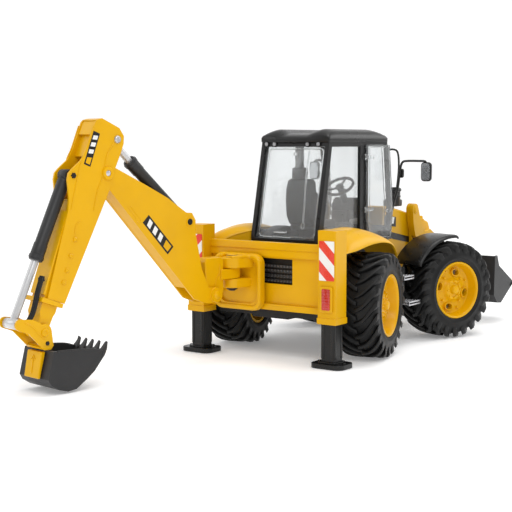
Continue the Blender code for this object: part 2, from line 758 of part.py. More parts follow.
OUTWARD = math.radians(180 - SWING_ANGLE)
PLANE = Matrix(
    (
        (math.cos(OUTWARD), -math.sin(OUTWARD), 0, SWING_X * MM),
        (math.sin(OUTWARD), math.cos(OUTWARD), 0, CARRIAGE_Y * MM),
        (0, 0, 1, 0),
        (0, 0, 0, 1),
    )
)


def plane_joint(name, place, parent):
    """An empty on a pivot of the backhoe plane."""
    world = PLANE @ Vector((place[0] * MM, 0, place[1] * MM))
    return empty(name, world / MM, parent, PLANE.to_3x3().to_4x4())


def across(place, half, radius, sides=16):
    """A lateral bar, centred on the backhoe plane."""
    return rod((place[0], -half, place[1]), (place[0], half, place[1]), radius, PLANE, sides)


def plate_pair(points, inner, outer):
    return [outline(points, *sorted((side * inner, side * outer)), PLANE) for side in (-1, 1)]


def make_carriage():
    half = CARRIAGE_WIDTH / 2
    back = BEAM_REAR_X - GAP
    slide = empty("carriage_slide", (back, CARRIAGE_Y, 70), ROOT)
    ring = rounded_rectangle(
        (CARRIAGE_Y - half, CARRIAGE_BOTTOM), (CARRIAGE_Y + half, CARRIAGE_TOP), 9, 5
    )
    plate = bevelled(outline(ring, back - 5.7, back, plane="YZ"), 1.2, 2, 50)
    recess = rounded_rectangle(
        (CARRIAGE_Y - half + 5, CARRIAGE_BOTTOM + 6), (CARRIAGE_Y + half - 5, CARRIAGE_TOP - 5), 10, 5
    )
    hollow = outline(recess, back - 8, back - 2.6, plane="YZ")
    arms = []
    for (low, high), radius in ((UPPER_ARM, 12.0), (LOWER_ARM, 9.5)):
        reach = [(back - 1, CARRIAGE_Y - radius - 5), (back - 1, CARRIAGE_Y + radius + 5)]
        tongue = reach + arc((SWING_X, CARRIAGE_Y), radius, 90, 270, 10)
        arms.append(bevelled(outline(tongue, low, high, plane="XY"), 0.8, 1, 50))
    hole = rod((SWING_X, CARRIAGE_Y, 50), (SWING_X, CARRIAGE_Y, 110), SWING_PIN_RADIUS + PIN_GAP)
    carriage = combine(combine(plate, [], [hollow]), arms, [hole])
    piece("carriage", carriage, YELLOW, slide)
    pin = rod((SWING_X, CARRIAGE_Y, 61.5), (SWING_X, CARRIAGE_Y, 93.5), SWING_PIN_RADIUS)
    heads = [
        rod((SWING_X, CARRIAGE_Y, z), (SWING_X, CARRIAGE_Y, z + 1.6), SWING_PIN_RADIUS + 1.8)
        for z in (92.0 + GAP, 64.5 - 1.6 - GAP)
    ]
    piece("swing_pin", combine(pin, heads), GREY, slide)
    return slide


def make_kingpost(slide):
    swing = empty("boom_swing_axis", (SWING_X, CARRIAGE_Y, 78), slide)
    low, high = LOWER_ARM[1] + GAP, UPPER_ARM[0] - GAP
    tongue = outline([*arc((0, 0), 7.5, 90, 270, 8), (20, -7.4), (20, 7.4)], low, high, PLANE, "XY")
    half = BOOM_HALF_WIDTH - BOOM_PLATE - 0.6
    ax, az = BOOM_PIVOT
    body = [
        (15.5, 62), (15.5, 90), (18, 93.5), (36, 93.5), (38, 90), (37, 72), *arc((ax, az), 7.6, 20, -130, 8),
    ]
    column = bevelled(outline(body, -half, half, PLANE), 0.6, 1, 50)
    hole = rod((0, 0, 50), (0, 0, 110), SWING_PIN_RADIUS + PIN_GAP, PLANE)
    pivot = across(BOOM_PIVOT, 20, 3 + PIN_GAP)
    piece("kingpost", combine(tongue, [column], [hole, pivot]), YELLOW, swing)
    return swing


BOOM_SIDE = [
    (144.7, 157.5), (53, 59.2), (41, 54.6), (34, 53.6), (24, 54.6), (20.6, 60.8), (24, 67), (36, 68),
    (44, 85.1), (51.3, 118), (50.8, 128), (55, 134.5), (61.5, 135), (82.6, 148.4), (106.4, 160), (141, 176),
    (147.5, 177.6), (153.5, 174), (154.6, 168.5), (152, 162.5),
]


def make_boom(swing):
    joint = plane_joint("boom_lift_axis", BOOM_PIVOT, swing)
    plates = plate_pair(BOOM_SIDE, BOOM_HALF_WIDTH - BOOM_PLATE, BOOM_HALF_WIDTH)
    web = outline(
        [(125, 168.5), (138, 174.6), (138.8, 172.6), (126, 166.7)],
        -BOOM_HALF_WIDTH + 0.4, BOOM_HALF_WIDTH - 0.4, PLANE,
    )
    back = outline(
        [(46.6, 98.5), (50.6, 116.6), (52.2, 116.2), (48.4, 98)],
        -BOOM_HALF_WIDTH + 0.4, BOOM_HALF_WIDTH - 0.4, PLANE,
    )
    tip = across(DIPPER_PIVOT, BOOM_HALF_WIDTH - 0.4, 6.2, 20)
    keel = outline(
        [(61.2, 71), (141.7, 157.3), (143, 156.1), (62.5, 69.8)],
        -BOOM_HALF_WIDTH + 0.4, BOOM_HALF_WIDTH - 0.4, PLANE,
    )
    pin = across(BOOM_PIVOT, BOOM_HALF_WIDTH + 2.6, 3)
    bosses = []
    for side in (-1, 1):
        start, end = side * (BOOM_HALF_WIDTH - 1), side * (BOOM_HALF_WIDTH + 2.4)
        bosses.append(rod((BOOM_PIVOT[0], start, BOOM_PIVOT[1]), (BOOM_PIVOT[0], end, BOOM_PIVOT[1]), 6.4, PLANE))
    base_pin = across(RAM_BASE, BOOM_HALF_WIDTH + 0.8, PIN_RADIUS)
    hole = across(DIPPER_PIVOT, 20, 2.6 + PIN_GAP)
    boom = combine(plates[0], [plates[1], web, back, tip, keel, pin, *bosses, base_pin], [hole])
    piece("boom", boom, YELLOW, joint)
    return joint


def slide_point(distance, offset=0.0):
    """A point at a distance up the stick's axis from the hitch pivot, and a little outward of it."""
    a = math.radians(SLIDE_ANGLE)
    s, z = HITCH_PIVOT
    return (
        s - distance * math.sin(a) + offset * math.cos(a),
        z + distance * math.cos(a) + offset * math.sin(a),
    )


DIPPER_SIDE = [
    (134.7, 206.5), (130.2, 200), (130.6, 194), (133.4, 187), (140.8, 171.4), (145.6, 157.1), (191.4, 68.8),
    (207.2, 74.4), (195.8, 112), (186.4, 142), (185.4, 152), (186, 160), (186.6, 166), (185.4, 171), (182, 174.4),
    (173.8, 180.6), (170.6, 184.4), (166.9, 191.7), (162.3, 203), (158.4, 211.4), (156.4, 213), (152, 214.2),
]
COLLAR_UP = 25.5


def make_dipper(boom_axis):
    joint = plane_joint("dipper_axis", DIPPER_PIVOT, boom_axis)
    inner = DIPPER_HALF_WIDTH - DIPPER_PLATE
    plates = plate_pair(DIPPER_SIDE, inner, DIPPER_HALF_WIDTH)
    gap = STICK_DEPTH / 2 + GAP
    wall = 1.5
    inside = inner + 0.5
    def web(points):
        return outline(points, -inside, inside, PLANE)
    top = web([(135.6, 205.4), (152, 212.6), (156.6, 211.4), (157.4, 213), (152, 214.2), (135, 206.8)])
    rear = web([slide_point(24, -gap), slide_point(98, -gap), slide_point(98, -gap - wall), slide_point(24, -gap - wall)])
    front = web([slide_point(28, gap), slide_point(96, gap), slide_point(96, gap + wall), slide_point(28, gap + wall)])
    upper = web([(155.6, 211), (160.6, 200.9), (162, 201.6), (157.4, 211.6)])
    recess = web([(158.6, 201.8), (165.5, 184), (164.2, 183.4), (157.2, 201.2)])
    step = web([(157.2, 201.2), (157.2, 202.6), (161.4, 202.6), (161.4, 201.2)])
    pin = across(DIPPER_PIVOT, DIPPER_HALF_WIDTH + 1.2, 2.6)
    ram_pin = across(RAM_HEAD, DIPPER_HALF_WIDTH + 0.8, PIN_RADIUS)
    curl_pin = across(CURL_BASE, DIPPER_HALF_WIDTH + 0.6, PIN_RADIUS)
    collar_low, collar_high = 22.0, COLLAR_UP
    reach = gap + wall + 1.2
    collar = combine(
        outline(
            [slide_point(collar_low, -reach), slide_point(collar_high, -reach), slide_point(collar_high, reach), slide_point(collar_low, reach)],
            -DIPPER_HALF_WIDTH - 1, DIPPER_HALF_WIDTH + 1, PLANE,
        ),
        [],
        [
            outline(
                [slide_point(10, -gap), slide_point(40, -gap), slide_point(40, gap), slide_point(10, gap)],
                -inner, inner, PLANE,
            )
        ],
    )
    dipper = combine(plates[0], [plates[1], top, rear, front, upper, recess, step, pin, ram_pin, curl_pin, collar])
    piece("dipper", dipper, YELLOW, joint)
    return joint


def make_stick(dipper_axis):
    """The telescopic inner stick, with the eye for the hitch at its lower end."""
    joint = plane_joint("stick_slide", slide_point(60), dipper_axis)
    half = STICK_DEPTH / 2
    side_half = DIPPER_HALF_WIDTH - DIPPER_PLATE - GAP
    body = outline(
        [slide_point(12, -half + 2), slide_point(17, -half), slide_point(106, -half), slide_point(106, half), slide_point(14, half), slide_point(9, half - 3)],
        -side_half, side_half, PLANE,
    )
    hollow = outline(
        [slide_point(20, -half + 1.6), slide_point(120, -half + 1.6), slide_point(120, half - 1.6), slide_point(20, half - 1.6)],
        -side_half + 1.6, side_half - 1.6, PLANE,
    )
    eye = across(HITCH_PIVOT, side_half - 0.2, 5.6, 20)
    neck = outline(
        [slide_point(-1, -4.6), slide_point(20, -half + 0.5), slide_point(20, half - 0.5), slide_point(-1, 4.6)],
        -side_half + 0.2, side_half - 0.2, PLANE,
    )
    hole = across(HITCH_PIVOT, 20, PIN_RADIUS + PIN_GAP)
    piece("dipper_extension", combine(body, [neck, eye], [hollow, hole]), YELLOW, joint)
    return joint


def make_hitch(stick_slide):
    joint = plane_joint("bucket_curl_axis", HITCH_PIVOT, stick_slide)
    fx, fz = CURL_HEAD
    inner = HITCH_HALF_WIDTH - HITCH_PLATE
    side_view = [
        *arc((fx, fz), 4.6, -60, 110, 7), (222, 59.6), (216, 56.6), *arc(HITCH_PIVOT, 6.6, 70, 170, 5),
        (203.6, 37.4), (206, 34.6), (212, 34.8), (219.5, 42.5), (226, 49),
    ]
    plates = plate_pair(side_view, inner, HITCH_HALF_WIDTH)
    pins = [across(HITCH_PIVOT, HITCH_HALF_WIDTH + 0.6, PIN_RADIUS), across(CURL_HEAD, HITCH_HALF_WIDTH - 0.5, PIN_RADIUS)]
    bridge = outline([(206.5, 34.7), (212, 34.9), (214, 37), (212, 38.2), (207, 37.2)], -inner - 1, inner + 1, PLANE)
    piece("hitch_lever", combine(plates[0], [plates[1], *pins, bridge]), YELLOW, joint)
    return joint


BUCKET_OUTER = [
    (203, 34.2), (209, 34.2), (214.6, 12.5), (212, 8), (205, 3.6), (196.6, 1.2), (188.4, 2.0), (178, 8.6), (170.6, 13.9),
    (160.6, 25.2), (158.8, 28.2), (163, 29.6), (172, 31.4), (186, 33),
]
BUCKET_INNER = [
    (204, 45), (207.2, 34), (212.6, 12.9), (210.6, 9.4), (204.4, 5.4), (196.6, 3.2), (189, 3.9), (179, 10.4), (172, 15.2),
    (162.2, 26.3), (155, 31), (155, 45),
]
TEETH = 5


def make_bucket(curl_axis):
    half = BUCKET_WIDTH / 2
    trough = outline(BUCKET_OUTER, -half, half, PLANE)
    hollow = outline(BUCKET_INNER, -half + BUCKET_SHEET, half - BUCKET_SHEET, PLANE)
    teeth = []
    pitch = (BUCKET_WIDTH - 5) / (TEETH - 1)
    for i in range(TEETH):
        y = (i - (TEETH - 1) / 2) * pitch
        tooth = [(162.8, 23.4), (159.6, 31.5), (157.6, 36.5), (156.4, 35.6), (157.2, 30), (160, 24.6)]
        teeth.append(outline(tooth, y - 1.5, y + 1.5, PLANE))
    piece("backhoe_bucket", combine(trough, teeth, [hollow]), GREY, curl_axis)
    holder = outline(
        [(209.7, 33.2), (215.2, 12.2), (217.4, 12.6), (213.6, 33.2)], -9.6, 9.6, PLANE
    )
    piece("bucket_bracket", bevelled(holder, 0.5, 1), YELLOW, curl_axis)


def along_frame(base, head, trim):
    """The plane's frame moved to base, with its X axis turned towards head and then by trim degrees."""
    direction = math.atan2(head[1] - base[1], head[0] - base[0]) + math.radians(trim)
    place = Matrix.Translation(Vector((base[0], 0, base[1])) * MM)
    return PLANE @ place @ Matrix.Rotation(-direction, 4, "Y")


def make_cylinder(name, base, head, length, rod_length, trims, barrel_parent, rod_parent, mouth_radius):
    """A barrel with its eye on base, and a rod with its eye on head that runs into the barrel."""
    barrel_axis = plane_joint(name + "_barrel_axis", base, barrel_parent)
    rod_axis = plane_joint(name + "_rod_axis", head, rod_parent)
    frame = along_frame(base, head, trims[0])
    eye_half = 5.2
    eye = rod((0, -eye_half, 0), (0, eye_half, 0), 4.6, frame)
    tube = rod((3, 0, 0), (length, 0, 0), BARREL_RADIUS, frame, 24)
    collar = rod((length - 9, 0, 0), (length, 0, 0), mouth_radius, frame, 24)
    bore = rod((7.5, 0, 0), (length + 5, 0, 0), BORE_RADIUS, frame, 24)
    hole = rod((0, -20, 0), (0, 20, 0), PIN_RADIUS + PIN_GAP, frame, 16)
    barrel = combine(eye, [tube, collar], [bore, hole])
    piece(name + "_barrel", barrel, GREY, barrel_axis)
    frame = along_frame(head, base, trims[1])
    bar = block((2, -ROD_HALF_WIDTH, -ROD_HALF_DEPTH), (rod_length, ROD_HALF_WIDTH, ROD_HALF_DEPTH), frame)
    bar = bevelled(bar, 1.2, 2)
    boss = rod((0, -8.0, 0), (0, 8.0, 0), 3.9, frame)
    hole = rod((0, -20, 0), (0, 20, 0), PIN_RADIUS + PIN_GAP, frame, 16)
    piece(name + "_rod", combine(boss, [bar], [hole]), SILVER, rod_axis)


def make_backhoe():
    slide = make_carriage()
    swing = make_kingpost(slide)
    boom_axis = make_boom(swing)
    dipper_axis = make_dipper(boom_axis)
    stick_slide = make_stick(dipper_axis)
    curl_axis = make_hitch(stick_slide)
    make_bucket(curl_axis)
    make_cylinder(
        "dipper_cylinder", RAM_BASE, RAM_HEAD, RAM_BARREL_LENGTH, RAM_ROD_LENGTH,
        (RAM_BARREL_TRIM, RAM_ROD_TRIM), boom_axis, dipper_axis, BARREL_RADIUS + 0.5,
    )
    make_cylinder(
        "bucket_cylinder", CURL_BASE, CURL_HEAD, CURL_BARREL_LENGTH, CURL_ROD_LENGTH,
        (CURL_BARREL_TRIM, CURL_ROD_TRIM), dipper_axis, curl_axis, BARREL_RADIUS + 0.5,
    )


# ---------------------------------------------------------------- assembly


def make_running_gear():
    for end, x, angle in (("rear", 0, REAR_STEER), ("front", WHEELBASE, FRONT_STEER)):
        make_axle(end + "_axle", x)
        for side, hand in ((-1, "right"), (1, "left")):
            name = end + "_" + hand
            steer = steering_joint("steer_" + name, x, side, angle)
            frame = wheel_frame(x, side, angle)
            make_knuckle("knuckle_" + name, frame, steer)
            spin = empty("spin_" + name, (x, side * KINGPIN_Y, TYRE_RADIUS), steer)
            make_wheel(name, frame, spin)
            if end == "front":
                make_mudguard("mudguard_" + hand, frame, steer, side)


def centre_on_ground():
    """Moves the model so that the bottom centre of its bounding box is the origin."""
    graph = bpy.context.evaluated_depsgraph_get()
    corners = []
    for obj in PARTS.objects:
        if obj.type == "MESH":
            shown = obj.evaluated_get(graph)
            corners += [shown.matrix_world @ vertex.co for vertex in shown.data.vertices]
    low = Vector([min(corner[i] for corner in corners) for i in range(3)])
    high = Vector([max(corner[i] for corner in corners) for i in range(3)])
    ROOT.location = (-(low.x + high.x) / 2, -(low.y + high.y) / 2, -low.z)


def smooth_shading():
    for obj in PARTS.objects:
        if obj.type == "MESH":
            obj.data.shade_smooth()
            obj.data.set_sharp_from_angle(angle=math.radians(35))


make_chassis()
make_running_gear()
make_rear_frame()
make_tread_step()
for side, hand in ((-1, "right"), (1, "left")):
    make_tail_lamp("tail_lamp_" + hand, side)
    make_stabiliser("stabiliser_" + hand, side)
    make_fender("fender_" + hand, side)
    make_door("door_" + hand, side)
    make_tank("tank_" + hand, side)
    make_mirror("mirror_" + hand, side)
make_cab_frame()
make_roof()
make_glazing()
make_seat()
make_steering()
make_hood()
make_loader_frame()
make_loader()
make_backhoe()
centre_on_ground()
smooth_shading()
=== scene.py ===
import json
import math

import bmesh
import bpy
from mathutils import Matrix, Vector


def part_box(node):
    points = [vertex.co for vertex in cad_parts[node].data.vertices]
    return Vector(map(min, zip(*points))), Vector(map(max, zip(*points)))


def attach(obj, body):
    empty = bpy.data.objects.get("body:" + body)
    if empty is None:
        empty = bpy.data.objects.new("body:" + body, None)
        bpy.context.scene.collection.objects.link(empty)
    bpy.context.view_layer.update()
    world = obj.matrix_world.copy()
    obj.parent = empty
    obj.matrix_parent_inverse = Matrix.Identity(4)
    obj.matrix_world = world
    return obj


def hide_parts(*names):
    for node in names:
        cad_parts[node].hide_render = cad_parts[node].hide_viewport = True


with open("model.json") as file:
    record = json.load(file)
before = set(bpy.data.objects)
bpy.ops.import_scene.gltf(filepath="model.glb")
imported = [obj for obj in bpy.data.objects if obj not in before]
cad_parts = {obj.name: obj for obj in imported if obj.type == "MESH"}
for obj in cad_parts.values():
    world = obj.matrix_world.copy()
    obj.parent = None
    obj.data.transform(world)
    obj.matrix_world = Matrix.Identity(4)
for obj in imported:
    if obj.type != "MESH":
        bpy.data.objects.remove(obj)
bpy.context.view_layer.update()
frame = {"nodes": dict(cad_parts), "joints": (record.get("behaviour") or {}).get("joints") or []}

# ---- Rear frame ------------------------------------------------------------------
# The real piece is one yellow moulding: two square posts, a beam and a rail, with a pressed
# panel between them. It is glossy ABS with soft edges, clipped to the back of the chassis.

MM = 0.001
joints = {joint["name"]: joint for joint in frame["joints"]}
rear_axle = Vector(joints["steer_rear_right"]["pos_m"])
VEHICLE = Matrix.Translation((rear_axle.x, 0, 0)) @ Matrix.Scale(MM, 4)


class Socket:
    """One socket of a material's nodes. Sums on it add Math nodes."""

    def __init__(self, tree, end=None):
        self.tree, self.end = tree, end

    def node(self, kind, settings=(), inputs=(), output=0):
        made = self.tree.nodes.new("ShaderNode" + kind)
        for name, value in dict(settings).items():
            if name == "stops":
                for stop, (position, colour) in zip(made.color_ramp.elements, value):
                    stop.position, stop.color = position, (*colour, 1)
            else:
                setattr(made, name, value)
        for name, value in dict(inputs).items():
            self.plug(made.inputs[name], value)
        return Socket(self.tree, made.outputs[output])

    def plug(self, socket, value):
        if isinstance(value, Socket):
            self.tree.links.new(value.end, socket)
        else:
            socket.default_value = value

    def math(self, operation, *values):
        return self.node("Math", {"operation": operation}, dict(enumerate(values)))

    def __add__(self, other):
        return self.math("ADD", self, other)

    def __radd__(self, other):
        return self.math("ADD", other, self)

    def __sub__(self, other):
        return self.math("SUBTRACT", self, other)

    def __rsub__(self, other):
        return self.math("SUBTRACT", other, self)

    def __mul__(self, other):
        return self.math("MULTIPLY", self, other)

    def __rmul__(self, other):
        return self.math("MULTIPLY", other, self)

    def __truediv__(self, other):
        return self.math("DIVIDE", self, other)

    def above(self, level, softness=0.02):
        """0 below the level and 1 above it, with a soft step."""
        return self.node(
            "MapRange",
            {"interpolation_type": "SMOOTHSTEP"},
            {"Value": self, "From Min": level - softness, "From Max": level + softness},
        )

    def blend(self, low, high):
        """The colour low where this is 0 and the colour high where it is 1."""
        ends = [c if isinstance(c, Socket) else (*c, 1) for c in (low, high)]
        return self.node("Mix", {"data_type": "RGBA"}, {0: self, 6: ends[0], 7: ends[1]}, output=2)


def new_paint(name):
    """A material, its empty socket to build from, and its object coordinates in metres."""
    material = bpy.data.materials.new(name)
    material.use_nodes = True
    start = Socket(material.node_tree)
    return material, start, start.node("TexCoord", output="Object")


def finish_paint(material, start, colour, roughness, height=None, depth=0.02, fixed=()):
    """Plugs a material's colour, roughness and bump height in, and sets its fixed values."""
    shader = material.node_tree.nodes["Principled BSDF"]
    start.plug(shader.inputs["Base Color"], colour)
    start.plug(shader.inputs["Roughness"], roughness)
    if height is not None:
        bump = start.node("Bump", (), {"Height": height, "Distance": depth * MM, "Strength": 0.6})
        start.plug(shader.inputs["Normal"], bump)
    for socket, value in dict(fixed).items():
        shader.inputs[socket].default_value = value
    return material


def moulded(name, colour, shade, gloss, grain=0.03, fixed=()):
    """Moulded plastic: flow marks in the colour, handling marks in the gloss and a fine grain."""
    material, start, place = new_paint(name)
    flow = start.node("TexNoise", (), {"Vector": place, "Scale": 24.0, "Detail": 4.0})
    marks = start.node("TexNoise", (), {"Vector": place, "Scale": 190.0, "Detail": 6.0, "Distortion": 0.8})
    fine = start.node("TexNoise", (), {"Vector": place, "Scale": 2600.0, "Detail": 2.0})
    dust = (marks * 0.6 + flow * 0.4).above(0.58, 0.09)
    tint = flow.above(0.5, 0.22).blend(colour, shade)
    dusty = (dust * 0.1).blend(tint, tuple(0.85 * c + 0.03 for c in colour))
    return finish_paint(
        material, start, dusty, marks * 0.16 + flow * 0.1 + (gloss - 0.13), fine + marks * 0.5, grain, fixed
    )


yellow = moulded(
    "yellow moulding", (0.76, 0.41, 0.0), (0.70, 0.37, 0.0), 0.32,
    fixed={"Coat Weight": 0.05, "Specular IOR Level": 0.2}
)


def cad_piece(node, paint, edge=0.4, angle=32, whole=True):
    """Keeps a CAD node, joins its facets, rounds its edges and gives it its material."""
    kept = frame["nodes"][node]
    normals = kept.data.attributes.get("custom_normal")
    if normals:
        kept.data.attributes.remove(normals)
    kept.data.shade_smooth()
    kept.data.materials.clear()
    kept.data.materials.append(paint)
    kept.modifiers.new("joined facets", "WELD").merge_threshold = 0.01 * MM
    if whole:
        flats = kept.modifiers.new("whole flats", "DECIMATE")
        flats.decimate_type = "DISSOLVE"
        flats.angle_limit = math.radians(0.6)
    rounding = kept.modifiers.new("rounded edges", "BEVEL")
    rounding.width = edge * MM
    rounding.segments = 3
    rounding.limit_method = "ANGLE"
    rounding.angle_limit = math.radians(angle)
    shading = kept.modifiers.new("even shading", "WEIGHTED_NORMAL")
    shading.keep_sharp = True


def make_piece(name, shape, body, paint, replaced=(), place=VEHICLE, sharp=38):
    """Turns a shape in millimetres into a piece that rides on a body."""
    bmesh.ops.recalc_face_normals(shape, faces=shape.faces)
    bmesh.ops.transform(shape, matrix=place, verts=shape.verts)
    mesh = bpy.data.meshes.new(name)
    shape.to_mesh(mesh)
    shape.free()
    mesh.shade_smooth()
    mesh.set_sharp_from_angle(angle=math.radians(sharp))
    mesh.materials.append(paint)
    made = bpy.data.objects.new(name, mesh)
    bpy.context.scene.collection.objects.link(made)
    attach(made, body)
    if replaced:
        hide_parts(*replaced)
    return made


def softened(shape, edge, angle=30, segments=3):
    """Rounds the sharp edges of a shape."""
    bmesh.ops.recalc_face_normals(shape, faces=shape.faces)
    sharp = [e for e in shape.edges if len(e.link_faces) == 2 and e.calc_face_angle() > math.radians(angle)]
    bmesh.ops.bevel(
        shape, geom=sharp, offset=edge, segments=segments, profile=0.5, affect="EDGES", clamp_overlap=True
    )
    return shape


def slab(points, low, high, edge=0.0, facing="Y"):
    """A flat outline given thickness: X and Z points along Y, Y and Z along X, or X and Y along Z."""
    order = {
        "Y": lambda a, b, t: (a, t, b), "X": lambda a, b, t: (t, a, b), "Z": lambda a, b, t: (a, b, t)
    }[facing]
    shape = bmesh.new()
    near, far = [[shape.verts.new(order(a, b, t)) for a, b in points] for t in (low, high)]
    shape.faces.new(near)
    shape.faces.new(far)
    for i in range(len(points)):
        shape.faces.new((near[i - 1], near[i], far[i], far[i - 1]))
    return softened(shape, edge) if edge else shape


def box(low, high, edge=0.0):
    (x0, y0, z0), (x1, y1, z1) = low, high
    return slab([(x0, z0), (x1, z0), (x1, z1), (x0, z1)], y0, y1, edge)


def moved(shape, matrix):
    bmesh.ops.transform(shape, matrix=matrix, verts=shape.verts)
    return shape


def merged(*shapes):
    """All the shapes in one mesh."""
    whole, *others = shapes
    for other in others:
        mesh = bpy.data.meshes.new("joined")
        other.to_mesh(mesh)
        other.free()
        whole.from_mesh(mesh)
        bpy.data.meshes.remove(mesh)
    return whole


def arc(centre, radius, start, end, steps):
    angles = [math.radians(start + (end - start) * i / steps) for i in range(steps + 1)]
    return [(centre[0] + radius * math.cos(a), centre[1] + radius * math.sin(a)) for a in angles]


def rounded(low, high, radius, steps=5):
    """A rectangle with round corners."""
    (a0, b0), (a1, b1) = low, high
    corners = ((a1 - radius, b1 - radius, 0), (a0 + radius, b1 - radius, 90))
    corners += ((a0 + radius, b0 + radius, 180), (a1 - radius, b0 + radius, 270))
    return [point for a, b, start in corners for point in arc((a, b), radius, start, start + 90, steps)]


cad_piece("rear_frame", yellow, 0.5)

# ---- Reflectors and tail lamps ---------------------------------------------------
# Each post carries a self-adhesive plate of red and white stripes that slope down towards
# the outside, and under it a red lens in a yellow bezel, both pressed on from behind.

lamp_boxes = {hand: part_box("tail_lamp_" + hand) for hand in ("right", "left")}
red_lens_paint, lens, lens_place = new_paint("red lens")
lens_parts = lens.node("SeparateXYZ", (), {"Vector": lens_place}, output=2)
lens_ribs = (lens_parts * 2500.0).math("SINE", lens_parts * 2500.0)
lens_glow = lens.node("TexNoise", (), {"Vector": lens_place, "Scale": 160.0})
finish_paint(
    red_lens_paint, lens, lens_glow.blend((0.5, 0.012, 0.006), (0.78, 0.03, 0.012)), lens_glow * 0.1 + 0.12,
    lens_ribs, 0.12, {"Coat Weight": 0.6, "Transmission Weight": 0.25},
)
for hand, side in (("right", -1), ("left", 1)):
    low, high = [corner / MM for corner in lamp_boxes[hand]]
    low.x, high.x = low.x - rear_axle.x / MM, high.x - rear_axle.x / MM
    middle = (low.y + high.y) / 2
    back = high.x
    striped, stripe, stripe_place = new_paint(f"striped reflector {hand}")
    across = stripe.node("SeparateXYZ", (), {"Vector": stripe_place}, output=1)
    up = stripe.node("SeparateXYZ", (), {"Vector": stripe_place}, output=2)
    slope = (up + across * float(side)) / (21.0 * MM) + 0.42
    turn = slope.math("FRACT", slope)
    cells = stripe.node("TexVoronoi", (), {"Vector": stripe_place, "Scale": 1500.0})
    finish_paint(
        striped, stripe, turn.above(0.5).blend((0.82, 0.82, 0.8), (0.74, 0.035, 0.012)), cells * 0.2 + 0.2,
        cells, 0.02, {"Coat Weight": 0.4},
    )
    plate = slab(rounded((middle - 7.6, 76.4), (middle + 7.6, 110.6), 0.8), back - 0.25, back + 0.2, 0.1, "X")
    make_piece(f"reflector_{hand}", plate, "chassis", striped)
    bezel = softened(
        slab(rounded((middle - 6.4, 49), (middle + 6.4, 71.5), 1.4), back - 1.3, back + 0.2, facing="X"),
        0.4
    )
    make_piece(f"tail_lamp_bezel_{hand}", bezel, "chassis", yellow)
    lamp = slab(rounded((middle - 4.3, 51), (middle + 3.9, 69.4), 1.0), back - 2.2, back - 0.8, 0.35, "X")
    make_piece(f"tail_lamp_lens_{hand}", lamp, "chassis", red_lens_paint, [f"tail_lamp_{hand}"])

# ---- Rear step and chassis -------------------------------------------------------
# Behind the panel's window a black foot plate with a diamond tread is clipped to the chassis.
# The chassis and both axles are one grade of matt black nylon.

black = moulded(
    "black moulding", (0.006, 0.006, 0.006), (0.009, 0.009, 0.009), 0.3, 0.04, {"Specular IOR Level": 0.32}
)
matt_black = moulded(
    "matt black nylon", (0.009, 0.009, 0.009), (0.013, 0.013, 0.013), 0.5, 0.02, {"Specular IOR Level": 0.3}
)
for node in ("chassis", "front_axle", "rear_axle"):
    cad_piece(node, matt_black, 0.5)
cad_piece("rear_step", matt_black, 0.3)
tread, treading, tread_place = new_paint("diamond tread")
tread_parts = [treading.node("SeparateXYZ", (), {"Vector": tread_place}, output=i) for i in (1, 2)]
diamond = [(tread_parts[0] + tread_parts[1] * turn) * 900.0 for turn in (1.0, -1.0)]
diamond = [line.math("SINE", line) for line in diamond]
finish_paint(
    tread, treading,
    (diamond[0] * diamond[1]).above(0.35, 0.2).blend((0.02, 0.02, 0.02), (0.07, 0.07, 0.07)), 0.5,
    diamond[0] * diamond[1], 0.5,
)
step_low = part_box("rear_step")[0]
step_x = (step_low.x - rear_axle.x) / MM
treads = [box((step_x - 0.7, -26, z), (step_x + 1.2, 26, z + 2.6), 0.3) for z in (69.2, 73.6, 78, 82.4)]
make_piece("rear_step_treads", merged(*treads), "chassis", tread)

# ---- Wheels ----------------------------------------------------------------------
# Four equal wheels: a soft black tyre with tractor lugs in two staggered rows, pushed over a
# deep yellow rim that has a raised hub, nuts, and four oval holes with collars.

rubber, rub, rub_place = new_paint("tyre rubber")
rub_cloud = rub.node("TexNoise", (), {"Vector": rub_place, "Scale": 60.0, "Detail": 5.0})
rub_grain = rub.node("TexNoise", (), {"Vector": rub_place, "Scale": 1800.0, "Detail": 3.0})
rub_dust = (rub_cloud * 0.7 + rub_grain * 0.3).above(0.56, 0.12)
finish_paint(
    rubber, rub, rub_dust.blend((0.006, 0.006, 0.006), (0.014, 0.014, 0.014)),
    rub_grain * 0.2 + rub_cloud * 0.1 + 0.3,
    rub_grain, 0.08, {"Specular IOR Level": 0.25},
)
TYRE_RADIUS = (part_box("tyre_rear_right")[1].z) / MM / 2
LUGS = 23


def lathe(profile, steps, turn=math.tau):
    """Radius and Y pairs turned about the Y axis; a closed loop of pairs makes a ring."""
    shape = bmesh.new()
    rings = []
    for radius, y in profile:
        if radius < 1e-6:
            rings.append([shape.verts.new((0, y, 0))] * steps)
            continue
        angles = [turn * i / steps for i in range(steps)]
        rings.append([shape.verts.new((radius * math.cos(a), y, radius * math.sin(a))) for a in angles])
    pairs = list(zip(rings, rings[1:]))
    if profile[0][0] > 0:
        pairs.append((rings[-1], rings[0]))
    for first, second in pairs:
        for i in range(steps):
            corners = [first[i - 1], first[i], second[i], second[i - 1]]
            corners = [c for n, c in enumerate(corners) if c not in corners[:n]]
            if len(corners) > 2:
                shape.faces.new(corners)
    return shape


